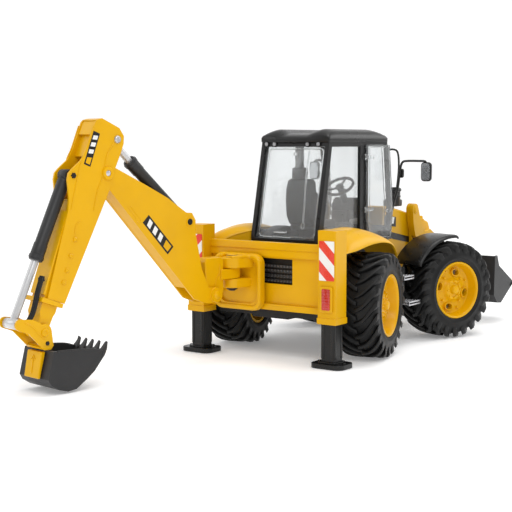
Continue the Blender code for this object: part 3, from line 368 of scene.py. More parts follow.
def lug(start, half, sense):
    """One curved tread bar, from the middle of the tyre over its shoulder."""
    stations = [(0.0, -1.2, 48.0), (0.12, 2.4, 48.0), (0.3, 6.6, 48.0), (0.55, 11.0, 47.9), (0.8, 15.2, 47.6)]
    stations += [(0.98, 18.2, 46.8), (1.06, 19.8, 44.6), (1.08, 20.3, 41.0)]
    shape = bmesh.new()
    rows = []
    for sweep, y, crown in stations:
        floor = min(crown - 0.4, 44.6) - (3.2 if y > 18 else 0)
        middle = start + sense * 0.40 * sweep ** 1.3
        width = (1.9 + 0.9 * sweep) / 46
        corners = (
            (-width - 0.012, floor), (-width + 0.008, crown), (width - 0.008, crown), (width + 0.012, floor)
        )
        row = []
        for turn, radius in corners:
            radius *= TYRE_RADIUS / 48
            angle = middle + turn
            inset = 0.5 if radius < 43 and y > 19 else 0
            row.append(
                shape.verts.new((radius * math.cos(angle), half * (y - inset), radius * math.sin(angle)))
            )
        rows.append(row)
    for first, second in zip(rows, rows[1:]):
        for i in range(4):
            shape.faces.new((first[i - 1], first[i], second[i], second[i - 1]))
    shape.faces.new(rows[0])
    shape.faces.new(rows[-1])
    return shape


def tyre_shape(sense):
    side = [(28.7, 18.8), (29.6, 19.6), (31.0, 19.5), (31.6, 20.0), (33.0, 20.0), (33.6, 19.4), (37.5, 19.5)]
    side += [(40.5, 18.9), (42.4, 17.6), (43.6, 15.5), (44.4, 12.0), (44.8, 6.0)]
    shape = lathe(side + [(45.0, 0.0)] + [(r, -y) for r, y in reversed(side)], 72)
    bars = []
    for i in range(LUGS):
        for half, shift in ((1, 0.0), (-1, 0.5)):
            bars.append(lug(math.tau * (i + shift) / LUGS, half, sense))
    return merged(shape, softened(merged(*bars), 0.45, 35, 2))


def hole_cutter(angle, long_radius, short_radius, distance):
    points = []
    for i in range(20):
        a = math.tau * i / 20
        radial, along = distance + short_radius * math.cos(a), long_radius * math.sin(a)
        points.append(
            (
                radial * math.cos(angle) - along * math.sin(angle),
                radial * math.sin(angle) + along * math.cos(angle)
            )
        )
    return points


def rim_shapes():
    """The rim without its holes, the cutter for them, and their collars, studs and nuts."""
    profile = [
        (0, 17.8), (2.8, 17.6), (3.9, 16.8), (4.4, 15.0), (4.9, 13.4), (7.0, 13.0), (7.6, 13.8),
        (9.4, 13.8), (10.2, 13.0),
        (11.2, 10.6), (13.0, 9.6), (21.8, 8.4), (23.8, 9.6), (24.8, 12.6), (25.6, 16.4), (26.2, 18.4),
        (27.2, 19.1), (28.2, 18.9), (28.5, 18.2), (28.3, 16.0), (28.3, -18.6), (27.6, -19.0), (26.0, -18.6),
        (24.4, -8.0), (23.0, 5.8), (12.6, 7.2), (9.6, 9.0), (0, 9.0),
    ]
    body = lathe(profile, 64)
    cutters, trims = [], []
    for i in range(4):
        angle = math.tau * i / 4 + 0.24
        cutters.append(slab(hole_cutter(angle, 4.2, 3.0, 17.4), 0, 20))
        ring = [hole_cutter(angle, 4.2 + g, 3.0 + g, 17.4) for g in (0.05, 1.0)]
        collar = bmesh.new()
        loops = [
            [collar.verts.new((x, y, z)) for x, z in ring[n]] for n,
            y in ((0, 7.6), (0, 11.4), (1, 11.1), (1, 7.6))
        ]
        for first, second in zip(loops, loops[1:] + loops[:1]):
            for k in range(20):
                collar.faces.new((first[k - 1], first[k], second[k], second[k - 1]))
        trims.append(collar)
        stud = lathe([(0, 11.6), (0.9, 11.4), (1.2, 10.8), (1.3, 8.0), (0, 8.0)], 14)
        turn = Matrix.Rotation(-(angle + 0.62), 4, "Y")
        trims.append(moved(stud, turn @ Matrix.Translation((15.6, 0, 0))))
        stud = lathe([(0, 11.0), (0.8, 10.8), (1.0, 10.2), (1.1, 8.0), (0, 8.0)], 14)
        turn = Matrix.Rotation(-(angle + 0.92), 4, "Y")
        trims.append(moved(stud, turn @ Matrix.Translation((20.2, 0, 0))))
    for i in range(8):
        nut = lathe([(0, 15.0), (0.7, 15.0), (0.95, 14.7), (1.0, 13.0), (0, 13.0)], 6)
        trims.append(moved(nut, Matrix.Rotation(math.tau * i / 8, 4, "Y") @ Matrix.Translation((8.5, 0, 0))))
    return body, merged(*cutters), merged(*trims)


def cut(made, cutter_shape, place):
    """Cuts a shape out of a made piece and applies it."""
    bmesh.ops.recalc_face_normals(cutter_shape, faces=cutter_shape.faces)
    bmesh.ops.transform(cutter_shape, matrix=place, verts=cutter_shape.verts)
    mesh = bpy.data.meshes.new("cutter")
    cutter_shape.to_mesh(mesh)
    cutter_shape.free()
    cutter = bpy.data.objects.new("cutter", mesh)
    bpy.context.scene.collection.objects.link(cutter)
    difference = made.modifiers.new("holes", "BOOLEAN")
    difference.operation, difference.solver, difference.object = "DIFFERENCE", "EXACT", cutter
    bpy.context.view_layer.update()
    finished = bpy.data.meshes.new_from_object(made.evaluated_get(bpy.context.evaluated_depsgraph_get()))
    made.modifiers.clear()
    made.data = finished
    bpy.data.objects.remove(cutter)
    return made


grey = moulded(
    "dark grey moulding", (0.022, 0.022, 0.023), (0.029, 0.029, 0.03), 0.42, 0.05,
    {"Specular IOR Level": 0.3}
)
for end in ("front", "rear"):
    for hand, side in (("right", -1), ("left", 1)):
        name = f"{end}_{hand}"
        axis = Vector(joints["spin_" + name]["axis"])
        centre = Vector(joints["spin_" + name]["pos_m"])
        facing = math.atan2(axis.y, axis.x) - math.pi / 2 + (math.pi if side < 0 else 0)
        place = Matrix.Translation(centre) @ Matrix.Rotation(facing, 4, "Z") @ Matrix.Scale(MM, 4)
        make_piece(
            f"lugged_tyre_{name}", tyre_shape(-side), f"wheel_{name}", rubber,
            [f"tyre_{name}"], place, 50
        )
        body, holes, trims = rim_shapes()
        rim = make_piece(
            f"dished_rim_{name}", body, f"wheel_{name}", yellow, [f"rim_{name}"], place,
            40
        )
        cut(rim, holes, place)
        make_piece(f"rim_trim_{name}", trims, f"wheel_{name}", yellow, (), place)
        cad_piece(f"knuckle_{name}", grey, 0.3)
        if end == "rear":
            continue
        outer_radius = 55.0
        start, stop = (84, 150) if side > 0 else (96, 30)
        guard = bmesh.new()
        rows = []
        for i in range(29):
            angle = math.radians(start + (stop - start) * i / 28)
            lip = 1.0 if i in (0, 28) else 0.0
            section = [(-23, 0.6), (-22.4, 1.4), (-20, 1.8), (10, 1.8), (13, 1.4), (14, 0.4), (14, -1.4)]
            section += [(12.6, -1.4), (12.2, -0.2), (9, 0), (-21, 0), (-22.4, -0.4)]
            row = []
            for y, rise in section:
                radius = outer_radius - 1.8 + rise - lip
                row.append(guard.verts.new((radius * math.cos(angle), y, radius * math.sin(angle))))
            rows.append(row)
        for first, second in zip(rows, rows[1:]):
            for k in range(len(first)):
                guard.faces.new((first[k - 1], first[k], second[k], second[k - 1]))
        guard.faces.new(rows[0])
        guard.faces.new(rows[-1])
        rear = -side
        post_x, arm_x = sorted((12 * rear, 22 * rear)), sorted((-5 * rear, 22 * rear))
        arms = [
            box((post_x[0], -24.3, 15), (post_x[1], -22.2, 50.5), 0.4),
            box((arm_x[0], -24.3, 14.8), (arm_x[1], -21.5, 17.4), 0.4),
            box((-5, -24.2, 14.8), (5, 5, 17.4), 0.5),
            lathe([(0, 17.9), (2.8, 17.9), (3.3, 17.4), (3.3, 16.8), (0, 16.8)], 20),
        ]
        arms[-1] = moved(arms[-1], Matrix.Rotation(math.pi / 2, 4, "X"))
        make_piece(
            f"curved_mudguard_{hand}", merged(guard, *arms), f"steer_{name}", black,
            [f"mudguard_{hand}"], place
        )

# ---- Stabilisers -----------------------------------------------------------------
# Square black legs that slide in the posts, each with a rounded foot, a groove down its
# faces and two bolt heads on the foot.

for hand, side in (("right", -1), ("left", 1)):
    low, high = [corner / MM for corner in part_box("stabiliser_" + hand)]
    centre_x, centre_y = (low.x + high.x) / 2 - rear_axle.x / MM, (low.y + high.y) / 2
    cad_piece("stabiliser_" + hand, black, 0.7)
    extras = []
    for turn in range(4):
        strips = [box((a, -7.25, 8), (a + 2.6, -6.5, 82), 0.2) for a in (-6.1, 3.5)]
        spin = Matrix.Translation((centre_x, centre_y, 0)) @ Matrix.Rotation(turn * math.pi / 2, 4, "Z")
        extras += [moved(strip, spin) for strip in strips]
    for ahead in (-1, 1):
        bolt = lathe([(0, 5.4), (1.3, 5.3), (1.7, 4.9), (1.8, 3.8), (0, 3.8)], 16)
        stand = Matrix.Translation(
            (centre_x, centre_y + ahead * 12.6, 0)
        ) @ Matrix.Rotation(math.pi / 2, 4, "X")
        extras.append(moved(bolt, stand))
    base = slab(rounded((centre_x - 9, centre_y - 9), (centre_x + 9, centre_y + 9), 2.0), 4.0, 5.6, 0.5, "Z")
    make_piece(f"stabiliser_ribs_{hand}", merged(base, *extras), f"stabiliser_{hand}", black)

# ---- Fenders ---------------------------------------------------------------------
# Thin yellow covers over the rear wheels, one moulding each, crowned across and rolled down
# at the outer edge, clipped to the side of the cab.


def smooth_line(points, count):
    """Evenly spaced points on a smooth curve through the given ones."""
    points = [Vector(p) for p in points]
    ends = [2 * points[0] - points[1], *points, 2 * points[-1] - points[-2]]
    dense = []
    for a, b, c, d in zip(ends, ends[1:], ends[2:], ends[3:]):
        for i in range(16):
            t = i / 16
            dense.append(
                0.5 * (
                    2 * b + (c - a) * t + (2 * a - 5 * b + 4 * c - d) * t**2 + (3 * b - a - 3 * c + d) * t**3
                )
            )
    dense.append(points[-1])
    lengths = [0.0]
    for a, b in zip(dense, dense[1:]):
        lengths.append(lengths[-1] + (b - a).length)
    placed, k = [], 0
    for i in range(count):
        want = lengths[-1] * i / (count - 1)
        while k < len(dense) - 2 and lengths[k + 1] < want:
            k += 1
        share = (want - lengths[k]) / max(lengths[k + 1] - lengths[k], 1e-9)
        placed.append(dense[k].lerp(dense[k + 1], min(max(share, 0), 1)))
    return placed


fender_low, fender_high = [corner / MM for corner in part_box("fender_left")]
crown = [
    (-53.4, 0, 99.5), (-52.4, 0, 105), (-47, 0, 110.8), (-37, 0, 115.4), (-22, 0, 118.2), (-6, 0, 118.2),
    (10, 0, 115)
]
crown += [(26, 0, 109), (41, 0, 101.2), (52, 0, 92.6), (57.8, 0, 84.8)]
skirt = [
    (-53.4, 0, 98.6), (-44, 0, 99.2), (-34, 0, 100.1), (-15, 0, 103.0), (0, 0, 104.2), (12, 0, 104),
    (25, 0, 101.8)
]
skirt += [(36, 0, 96.1), (46.6, 0, 88.8), (55, 0, 82.4)]
for hand, side in (("right", -1), ("left", 1)):
    ridge, hem = smooth_line(crown, 60), smooth_line(skirt, 60)
    inner, outer = fender_low.y, fender_high.y - 0.2
    near_post = [min(19.0, max(0.0, -33.0 - top.x) * 0.95) for top in ridge]
    shell = bmesh.new()
    skins = []
    for thickness in (0.0, 1.9):
        skin = []
        for top, low, pulled in zip(ridge, hem, near_post):
            row = []
            for k in range(25):
                across = math.sin(k / 24 * math.pi / 2) ** 0.8
                rise = max(0.0, 1 - across**3.4) ** 0.55 - 0.24 * max(0.0, 1 - across / 0.4) ** 2
                spot = low.lerp(top, rise)
                edge = outer - thickness - 0.0095 * max(0.0, spot.x - 22) ** 2
                y = inner + pulled + (edge - inner - pulled) * across
                row.append(shell.verts.new((spot.x, side * y, spot.z - thickness * rise)))
            skin.append(row)
        skins.append(skin)
    top, under = skins
    for i in range(59):
        for k in range(24):
            shell.faces.new((top[i][k], top[i + 1][k], top[i + 1][k + 1], top[i][k + 1]))
            shell.faces.new((under[i][k], under[i][k + 1], under[i + 1][k + 1], under[i + 1][k]))
        for k in (0, 24):
            shell.faces.new((top[i][k], top[i + 1][k], under[i + 1][k], under[i][k]))
    for i in (0, 59):
        for k in range(24):
            shell.faces.new((top[i][k], top[i][k + 1], under[i][k + 1], under[i][k]))
    wall = bmesh.new()
    rows = []
    for first, second in zip(top[:44], under[:44]):
        ends = (first[0].co, second[0].co)
        feet = [Vector((end.x, first[0].co.y + shift, 97.2)) for end, shift in zip(ends, (0, side * 1.9))]
        heads = [Vector((foot.x, foot.y, first[0].co.z - 0.5)) for foot in feet]
        rows.append([wall.verts.new(spot) for spot in (*heads, *reversed(feet))])
    for first, second in zip(rows, rows[1:]):
        for k in range(4):
            wall.faces.new((first[k - 1], first[k], second[k], second[k - 1]))
    wall.faces.new(rows[0])
    wall.faces.new(rows[-1])
    shell = merged(shell, wall)
    make_piece(
        f"crowned_fender_{hand}", shell, "chassis", yellow, [f"fender_{hand}"], sharp=50
    )

# ---- Cab frame and roof ----------------------------------------------------------
# One black moulding makes the pillars, sill and header. The roof snaps on top of it, with a
# raised pad along each side, and four round work lights look back from under its rear edge.

cad_piece("cab_frame", black, 0.9, whole=False)
frame_low, frame_high = [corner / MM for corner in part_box("cab_frame")]
roof_low, roof_high = [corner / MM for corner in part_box("cab_roof")]
roof_x = (roof_low.x - rear_axle.x / MM, roof_high.x - rear_axle.x / MM)


def roof_level(x, y):
    """Height of the roof's top at a place, from its flat middle up to its two side pads."""
    ahead = (x - roof_x[0]) / (roof_x[1] - roof_x[0])
    edge = min(1.0, (1 - abs(y) / roof_high.y) * 7, ahead * 8, (1 - ahead) * 6)
    pad = math.cos((min(1.0, abs(abs(y) - 25) / 13.5)) * math.pi / 2) ** 1.2
    pad *= min(1.0, max(0.0, (ahead - 0.02) * 8)) ** 0.5 * min(1.0, max(0.0, (0.98 - ahead) * 5)) ** 0.5
    return roof_low.z + 2.6 + 4.6 * math.sin(max(0.0, edge) * math.pi / 2) ** 0.7 + 4.2 * pad


roof = bmesh.new()
columns, lines = 56, 48
sheets = []
for under in (False, True):
    sheet = []
    for i in range(columns + 1):
        ahead = i / columns
        row = []
        for k in range(lines + 1):
            y = (roof_high.y - 0.3) * (2 * k / lines - 1)
            bow = 2.6 * (1 - (y / roof_high.y) ** 2)
            x = roof_x[0] + (roof_x[1] - roof_x[0]) * ahead
            x += bow * (ahead - 0.5) * 2 - (2.6 if ahead in (0, 1) else 2.6) * (ahead - 0.5) * 2
            row.append(roof.verts.new((x, y, roof_low.z - 0.9 if under else roof_level(x, y))))
        sheet.append(row)
    sheets.append(sheet)
top, under = sheets
for i in range(columns):
    for k in range(lines):
        roof.faces.new((top[i][k], top[i + 1][k], top[i + 1][k + 1], top[i][k + 1]))
        roof.faces.new((under[i][k], under[i][k + 1], under[i + 1][k + 1], under[i + 1][k]))
    for k in (0, lines):
        roof.faces.new((top[i][k], top[i + 1][k], under[i + 1][k], under[i][k]))
for i in (0, columns):
    for k in range(lines):
        roof.faces.new((top[i][k], top[i][k + 1], under[i][k + 1], under[i][k]))
make_piece(
    "padded_roof", softened(roof, 0.8, 50, 2), "chassis", black, ["cab_roof"], sharp=60
)

silver = moulded("silver moulding", (0.6, 0.6, 0.62), (0.5, 0.5, 0.52), 0.27, 0.03, {"Metallic": 0.75})
lamp_grey = moulded("grey lamp lens", (0.34, 0.34, 0.35), (0.24, 0.24, 0.25), 0.2, 0.1, {"Coat Weight": 0.5})
rear_x = frame_low.x - rear_axle.x / MM + 17.6
for number, y in enumerate((31.4, 22.4, -14.5, -26.4)):
    tilt = Matrix.Translation((rear_x, y, 193.3)) @ Matrix.Rotation(math.radians(90), 4, "Z")
    ring = moved(
        lathe([(0, 0.6), (2.1, 0.8), (2.3, 1.6), (2.6, 1.6), (2.8, 1.0), (2.8, -1.5), (0, -1.5)], 28), tilt
    )
    make_piece(f"work_light_ring_{number + 1}", ring, "chassis", black)
    lens = moved(lathe([(0, 1.7), (1.3, 1.5), (2.1, 0.9), (2.1, 0.5), (0, 0.5)], 24), tilt)
    make_piece(f"work_light_lens_{number + 1}", lens, "chassis", lamp_grey)

# ---- Glazing and doors -----------------------------------------------------------
# Clear polystyrene inserts behind the pillars. The rear pane has a raised border, a moulded
# wiper and a pull; each door is one clear panel whose hinges and latch are moulded on.

glass, clear, clear_place = new_paint("clear polystyrene")
smear = clear.node("TexNoise", (), {"Vector": clear_place, "Scale": 45.0, "Detail": 4.0})
finish_paint(
    glass, clear, smear.blend((0.97, 0.985, 0.99), (0.93, 0.95, 0.955)),
    smear.above(0.55, 0.2) * 0.05 + 0.015,
    smear, 0.25, {"Transmission Weight": 0.93, "IOR": 1.42},
)
for node in ("cab_windows", "windscreen"):
    pane = frame["nodes"][node].data
    pane.materials.clear()
    pane.materials.append(glass)
    pane.shade_flat()
for hand, side in (("right", -1), ("left", 1)):
    cad_piece(f"door_{hand}", glass, 0.35)


def rail(points, radius, sides=10, count=0):
    """A round bar along points, with closed ends; a count asks for a smooth line through them."""
    line = smooth_line(points, count) if count else [Vector(p) for p in points]
    shape = bmesh.new()
    across = None
    rings = []
    for i, point in enumerate(line):
        ahead = (line[min(i + 1, len(line) - 1)] - line[max(i - 1, 0)]).normalized()
        if across is None:
            across = ahead.orthogonal().normalized()
        across = (across - ahead * across.dot(ahead)).normalized()
        other = ahead.cross(across)
        size = radius[i] if isinstance(radius, list) else radius
        turns = [math.tau * k / sides for k in range(sides)]
        rings.append(
            [shape.verts.new(point + size * (across * math.cos(a) + other * math.sin(a))) for a in turns]
        )
    for first, second in zip(rings, rings[1:]):
        for k in range(sides):
            shape.faces.new((first[k - 1], first[k], second[k], second[k - 1]))
    shape.faces.new(rings[0])
    shape.faces.new(rings[-1])
    return shape


def rear_pane(z):
    """X of the outside of the rear pane at a height."""
    return -29.3 + 18 * (z - 109) / 83


def on_pane(y, z, proud=0.0):
    return (rear_pane(z) - proud, y, z)


border = [on_pane(y, z, 0.2) for y, z in rounded((-30.5, 108.2), (30.5, 189), 4)]
border.append(border[0])
arm = [on_pane(-15, 187, 1.2), on_pane(-15.5, 160, 1.6), on_pane(-17, 138, 1.4), on_pane(-17.5, 122, 1.2)]
hoop = [
    on_pane(
        -17.5 + 1.8 * math.cos(a), 119 + 2.8 * math.sin(a), 1.0
    ) for a in [math.tau * i / 20 for i in range(21)]
]
pull = [on_pane(13, 112.6, 0.4), on_pane(12, 112.6, 2.2), on_pane(1, 112.6, 2.2), on_pane(0, 112.6, 0.4)]
trims = [rail(border, 0.75, 8), rail(arm, 0.8, 8, 24), rail(hoop, 0.45, 8), rail(pull, 0.8, 8, 20)]
make_piece("rear_pane_trims", merged(*trims), "chassis", glass, sharp=60)
latch = [box((rear_pane(184) - 2, -1.6, 182.6), (rear_pane(184), 1.6, 185.4), 0.4)]
make_piece("rear_pane_catches", merged(*latch), "chassis", glass)
for hand, side in (("right", -1), ("left", 1)):
    y = side * (frame_high.y + 2.9)
    fittings = []
    for z in (131.0, 181.0):
        fittings.append(rail([(46.4, y, z - 2.6), (46.4, y, z + 2.6)], 1.3, 16))
        near, far = sorted((y - 0.7 * side, y + 0.6 * side))
        fittings.append(box((46.4, near, z - 1.6), (60, far, z + 1.6), 0.4))
    edge = [(53, 118.5), (57, 103.5), (93.5, 102.4), (96.5, 128), (89.4, 190.2), (53, 190.2), (53, 118.5)]
    fittings.append(rail([(x, y - 0.4 * side, z) for x, z in edge], 0.6, 8))
    make_piece(f"door_hinges_{hand}", merged(*fittings), f"door_{hand}", glass, sharp=50)

# ---- Seat, controls and cab floor ------------------------------------------------
# The driver's place is a black bucket seat, a tilted steering wheel on a dash, lever boxes
# and ribbed covers over the rear wheel arches, all matt black and grey mouldings.

back = [
    (-11.5, 140), (-10, 126), (-5.5, 118.5), (3, 115), (7.5, 120), (5.5, 132), (3.4, 146), (2, 158),
    (-2, 161.5), (-7.5, 160), (-10.6, 152)
]
seat_back = softened(slab(back, -13.4, 13.4), 2.4, 25, 4)
cushion = softened(
    slab([(-2, 112), (33, 112.4), (34.5, 117), (31, 120.8), (4, 119.2), (-3, 117)], -14.6, 14.6), 2.2, 25, 4
)
bolsters = [box((0, side * 12 - 2.6, 116), (30, side * 12 + 2.6, 122.4), 2.0) for side in (-1, 1)]
bolsters += [
    slab(
        [(-7, 121), (1, 119), (9, 123), (6.4, 147), (1, 150), (-8, 146)], side * 11.6 - 2, side * 11.6 + 2,
        1.6
    ) for side in (-1, 1)
]
stand = box((5, -8.6, 102.6), (27, 8.6, 113), 0.8)
make_piece(
    "bucket_seat", merged(seat_back, cushion, stand, *bolsters), "chassis", matt_black,
    ["seat"], sharp=60
)
head = softened(slab([(-9.4, 161), (-4, 160), (-1.8, 167), (-4.6, 172), (-9, 171)], -7.5, 7.5), 1.8, 25, 4)
make_piece("headrest", head, "chassis", matt_black, sharp=60)

wheel_centre = Vector(joints["steering_wheel_turn"]["pos_m"])
wheel_axis = Vector(joints["steering_wheel_turn"]["axis"])
rim_turn = wheel_axis.to_track_quat("Z", "X").to_matrix().to_4x4()
wheel_place = Matrix.Translation(wheel_centre) @ rim_turn @ Matrix.Scale(MM, 4)
loop = [(13.6 * math.cos(a), 13.6 * math.sin(a), 0) for a in [math.tau * i / 48 for i in range(49)]]
steering = [
    rail(loop, 1.5, 12),
    moved(
        lathe([(0, 1.8), (3.2, 1.6), (4, 0.6), (4, -1.6), (0, -1.8)], 24),
        Matrix.Rotation(math.pi / 2, 4, "X")
    )
]
for a in (0, math.tau / 3, 2 * math.tau / 3):
    steering.append(
        rail(
            [(0, 0, -0.6), (6 * math.cos(a), 6 * math.sin(a), -0.8), (13 * math.cos(a), 13 * math.sin(a), 0)],
            1.15, 10, 12
        )
    )
make_piece(
    "rimmed_steering_wheel", merged(*steering), "steering_wheel", black,
    ["steering_wheel"], wheel_place, 60
)
cad_piece("steering_column", matt_black, 0.8)
dash = slab([(70, 124), (88.4, 124), (90.6, 131), (84, 139), (74, 141), (68, 133)], -14, 14, 1.6)
make_piece("dash_hood", dash, "chassis", matt_black)
arch_grey = moulded("arch cover grey", (0.06, 0.06, 0.062), (0.1, 0.1, 0.102), 0.5, 0.08)
for hand, side in (("right", -1), ("left", 1)):
    arches = []
    for step in range(5):
        outer = 26.0 - 3.4 * step
        height = 112.4 + 2.4 * step
        ring = arc((4, 102.4), outer, 0, 180, 28)
        arches.append(
            slab(
                [(x, 102.4 + (z - 102.4) * (0.5 + 0.09 * step)) for x, z in ring],
                *sorted((side * (22 + 2.7 * step), side * (35.4))), 0.5
            )
        )
    make_piece(f"wheel_arch_cover_{hand}", merged(*arches), "chassis", arch_grey)
    near, far = sorted((side * 18, side * 24))
    console = merged(
        box((24, near, 102.6), (50, far, 119), 1.4),
        rail(
            [(40, side * 21, 118), (41, side * 21, 126), (43, side * 21, 130)], [0.8] * 9 + [1.2, 1.7, 1.2],
            10, 12
        ),
        rail(
            [(33, side * 21, 118), (33.5, side * 21, 125), (34, side * 21, 128)],
            [0.7] * 9 + [1.1, 1.5, 1.0], 10, 12
        ),
    )
    make_piece(f"lever_console_{hand}", console, "chassis", matt_black)
tray = merged(box((44, -33, 117), (62, -22, 121.4), 0.8), box((48, -31, 121), (60, -24, 122.4), 0.5))
pale = moulded("pale grey moulding", (0.5, 0.5, 0.49), (0.42, 0.42, 0.41), 0.4, 0.05)
make_piece("control_box", tray, "chassis", pale)

# ---- Mirrors and grab rails ------------------------------------------------------
# Bent black rods in front of the cab carry a rounded mirror on each side, and the same
# moulding makes the tall grab rail beside the windscreen.

mirror_glass, mirror, mirror_place = new_paint("mirror film")
mirror_cloud = mirror.node("TexNoise", (), {"Vector": mirror_place, "Scale": 120.0})
finish_paint(
    mirror_glass, mirror, mirror_cloud.blend((0.75, 0.76, 0.78), (0.65, 0.66, 0.68)),
    mirror_cloud * 0.08 + 0.06,
    fixed={"Metallic": 1.0},
)
for hand, side in (("right", -1), ("left", 1)):
    low, high = [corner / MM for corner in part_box("mirror_" + hand)]
    low.x, high.x = low.x - rear_axle.x / MM, high.x - rear_axle.x / MM
    arm = [(101, 34, 121), (102.6, 42, 146), (102.2, 45.6, 168), (103.4, 47.4, 175.2), (106, 51, 176.6)]
    arm += [(113, 60, 176.6), (117, 65, 176.2), (118.2, 66, 173.6)]
    rods = [rail([(x, side * y, z) for x, y, z in arm], 1.15, 10, 60)]
    hoop = [
        (92.8, 36.4, 187), (99, 38.6, 188), (104.6, 41.2, 185), (107.2, 41.2, 170), (106.6, 39, 146),
        (103.4, 36.4, 127)
    ]
    rods.append(rail([(x, side * y, z) for x, y, z in hoop], 1.0, 10, 50))
    rods.append(rail([(99, side * 40, 150), (107, side * 41, 150)], 0.9, 10))
    head = rounded((side * 66 - 5.6, 156.5), (side * 66 + 5.6, 175.4), 3.4)
    rods.append(softened(slab(head, 116.6, 120, facing="X"), 1.1, 30, 3))
    small = rounded((side * 45.6 - 2.6, 160), (side * 45.6 + 2.6, 169), 2.0)
    rods.append(softened(slab(small, 103.4, 106, facing="X"), 0.8, 30, 3))
    make_piece(
        f"mirror_and_rail_{hand}", merged(*rods), "chassis", black, [f"mirror_{hand}"],
        sharp=60
    )
    pane = slab(rounded((side * 66 - 4.6, 157.6), (side * 66 + 4.6, 174.3), 2.8), 116.4, 116.7, facing="X")
    make_piece(f"mirror_pane_{hand}", pane, "chassis", mirror_glass)

# ---- Hood, grille and air cleaner ------------------------------------------------
# The hood is one glossy yellow moulding with louvres, a dark stripe and a plain striped
# badge on each side. The black grille and the round air cleaner plug into it.

cad_piece("hood", yellow, 1.6)
cad_piece("grille", matt_black, 0.4)
hood_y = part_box("hood")[1].y / MM
badge_white = moulded("badge white", (0.82, 0.82, 0.8), (0.76, 0.76, 0.74), 0.3, 0.01)
for hand, side in (("right", -1), ("left", 1)):
    skin = sorted((side * (hood_y - 0.15), side * (hood_y + 0.16)))
    stripe = slab([(101.5, 108), (160, 97), (200, 92.5), (201, 88), (160, 91), (101.5, 101)], *skin)
    make_piece(f"hood_stripe_{hand}", stripe, "chassis", black)
    louvres = [
        slab(
            [(x, 76), (x + 3, 76), (x + 3, 88), (x, 88)],
            *sorted((side * (hood_y - 0.3), side * (hood_y + 0.7))), 0.35
        ) for x in range(178, 200, 5)
    ]
    make_piece(f"hood_louvres_{hand}", merged(*louvres), "chassis", matt_black)
    panel = slab([(103, 112), (128, 109.6), (128, 119.4), (103, 123)], *skin)
    make_piece(f"hood_badge_panel_{hand}", panel, "chassis", black)
    proud = sorted((side * (hood_y + 0.1), side * (hood_y + 0.26)))
    bars = [
        slab(
            [(x, 113.2), (x + 4.4, 112.8), (x + 6.2, 119.4), (x + 1.8, 120)], *proud
        ) for x in (104.6, 111.6, 118.6)
    ]
    make_piece(f"hood_badge_bars_{hand}", merged(*bars), "chassis", badge_white)
    cap = lathe([(0, 3.2), (2.4, 3.1), (3.2, 2.4), (3.4, 0), (4.6, -0.4), (4.8, -1.6), (0, -1.6)], 28)
    knob = Matrix.Translation((186, side * 23.0, 114.6)) @ Matrix.Rotation(math.pi / 2, 4, "X")
    make_piece(f"hood_knob_{hand}", moved(cap, knob), "chassis", yellow)
upright = Matrix.Translation((138, -17, 0)) @ Matrix.Rotation(math.pi / 2, 4, "X")
canister = lathe(
    [
        (0, 149), (6.4, 149), (8.4, 148.2), (9, 147), (9, 145.4), (8, 144.8), (8, 141), (8.4, 140.6),
        (8.4, 139), (8, 138.6), (8, 131), (0, 131)
    ],
    40
)
foot = box((128.8, -23.8, 129.7), (146.8, -10.2, 136.6), 1.2)
make_piece(
    "air_cleaner_canister", merged(moved(canister, upright), foot), "chassis", black,
    ["air_cleaner"], sharp=45
)
for side, hand in ((-1, "right"), (1, "left")):
    bezel = slab(rounded((side * 22.5 - 3.2, 84), (side * 22.5 + 3.2, 94), 1.4), 203.4, 205.8, 0.5, "X")
    make_piece(f"headlight_{hand}", bezel, "chassis", lamp_grey)

# ---- Tanks and steps -------------------------------------------------------------
# Black boxes hang beside the chassis between the wheels, each with two bright chequered
# steps that stand out from it.

for hand, side in (("right", -1), ("left", 1)):
    shell = box((56, min(side * 35, side * 60), 40), (90, max(side * 35, side * 60), 74), 2.4)
    bands = [
        box(
            (x, min(side * 36, side * 60.5), 39.8), (x + 2.4, max(side * 36, side * 60.5), 74.2), 0.8
        ) for x in (60, 84)
    ]
    make_piece(
        f"tank_box_{hand}", merged(shell, *bands), "chassis", matt_black, [f"tank_{hand}"]
    )
    steps = []
    for x0, x1, z0 in ((62, 81, 64.8), (72, 94, 39.2)):
        y0, y1 = sorted((side * 53, side * 74))
        steps.append(box((x0, y0, z0), (x1, y1, z0 + 2.4), 0.5))
        near, far = sorted((side * 72.4, side * 74))
        steps.append(box((x0, near, z0 - 1.0), (x1, far, z0 + 3.2), 0.4))
        count = int((x1 - x0) / 3)
        for i in range(count):
            for j in range(5):
                x, y = x0 + 2 + 3 * i, side * (57 + 3.2 * j)
                steps.append(box((x - 0.9, y - 0.45, z0 + 2.2), (x + 0.9, y + 0.45, z0 + 3.0), 0.2))
    make_piece(f"chequered_steps_{hand}", merged(*steps), "chassis", silver)

# ---- Front loader ----------------------------------------------------------------
# Yellow towers and lift arms, and a dark grey bucket with a cutting edge, wear strips and
# ribs on its back. The arms turn on studs and are held up by friction alone.

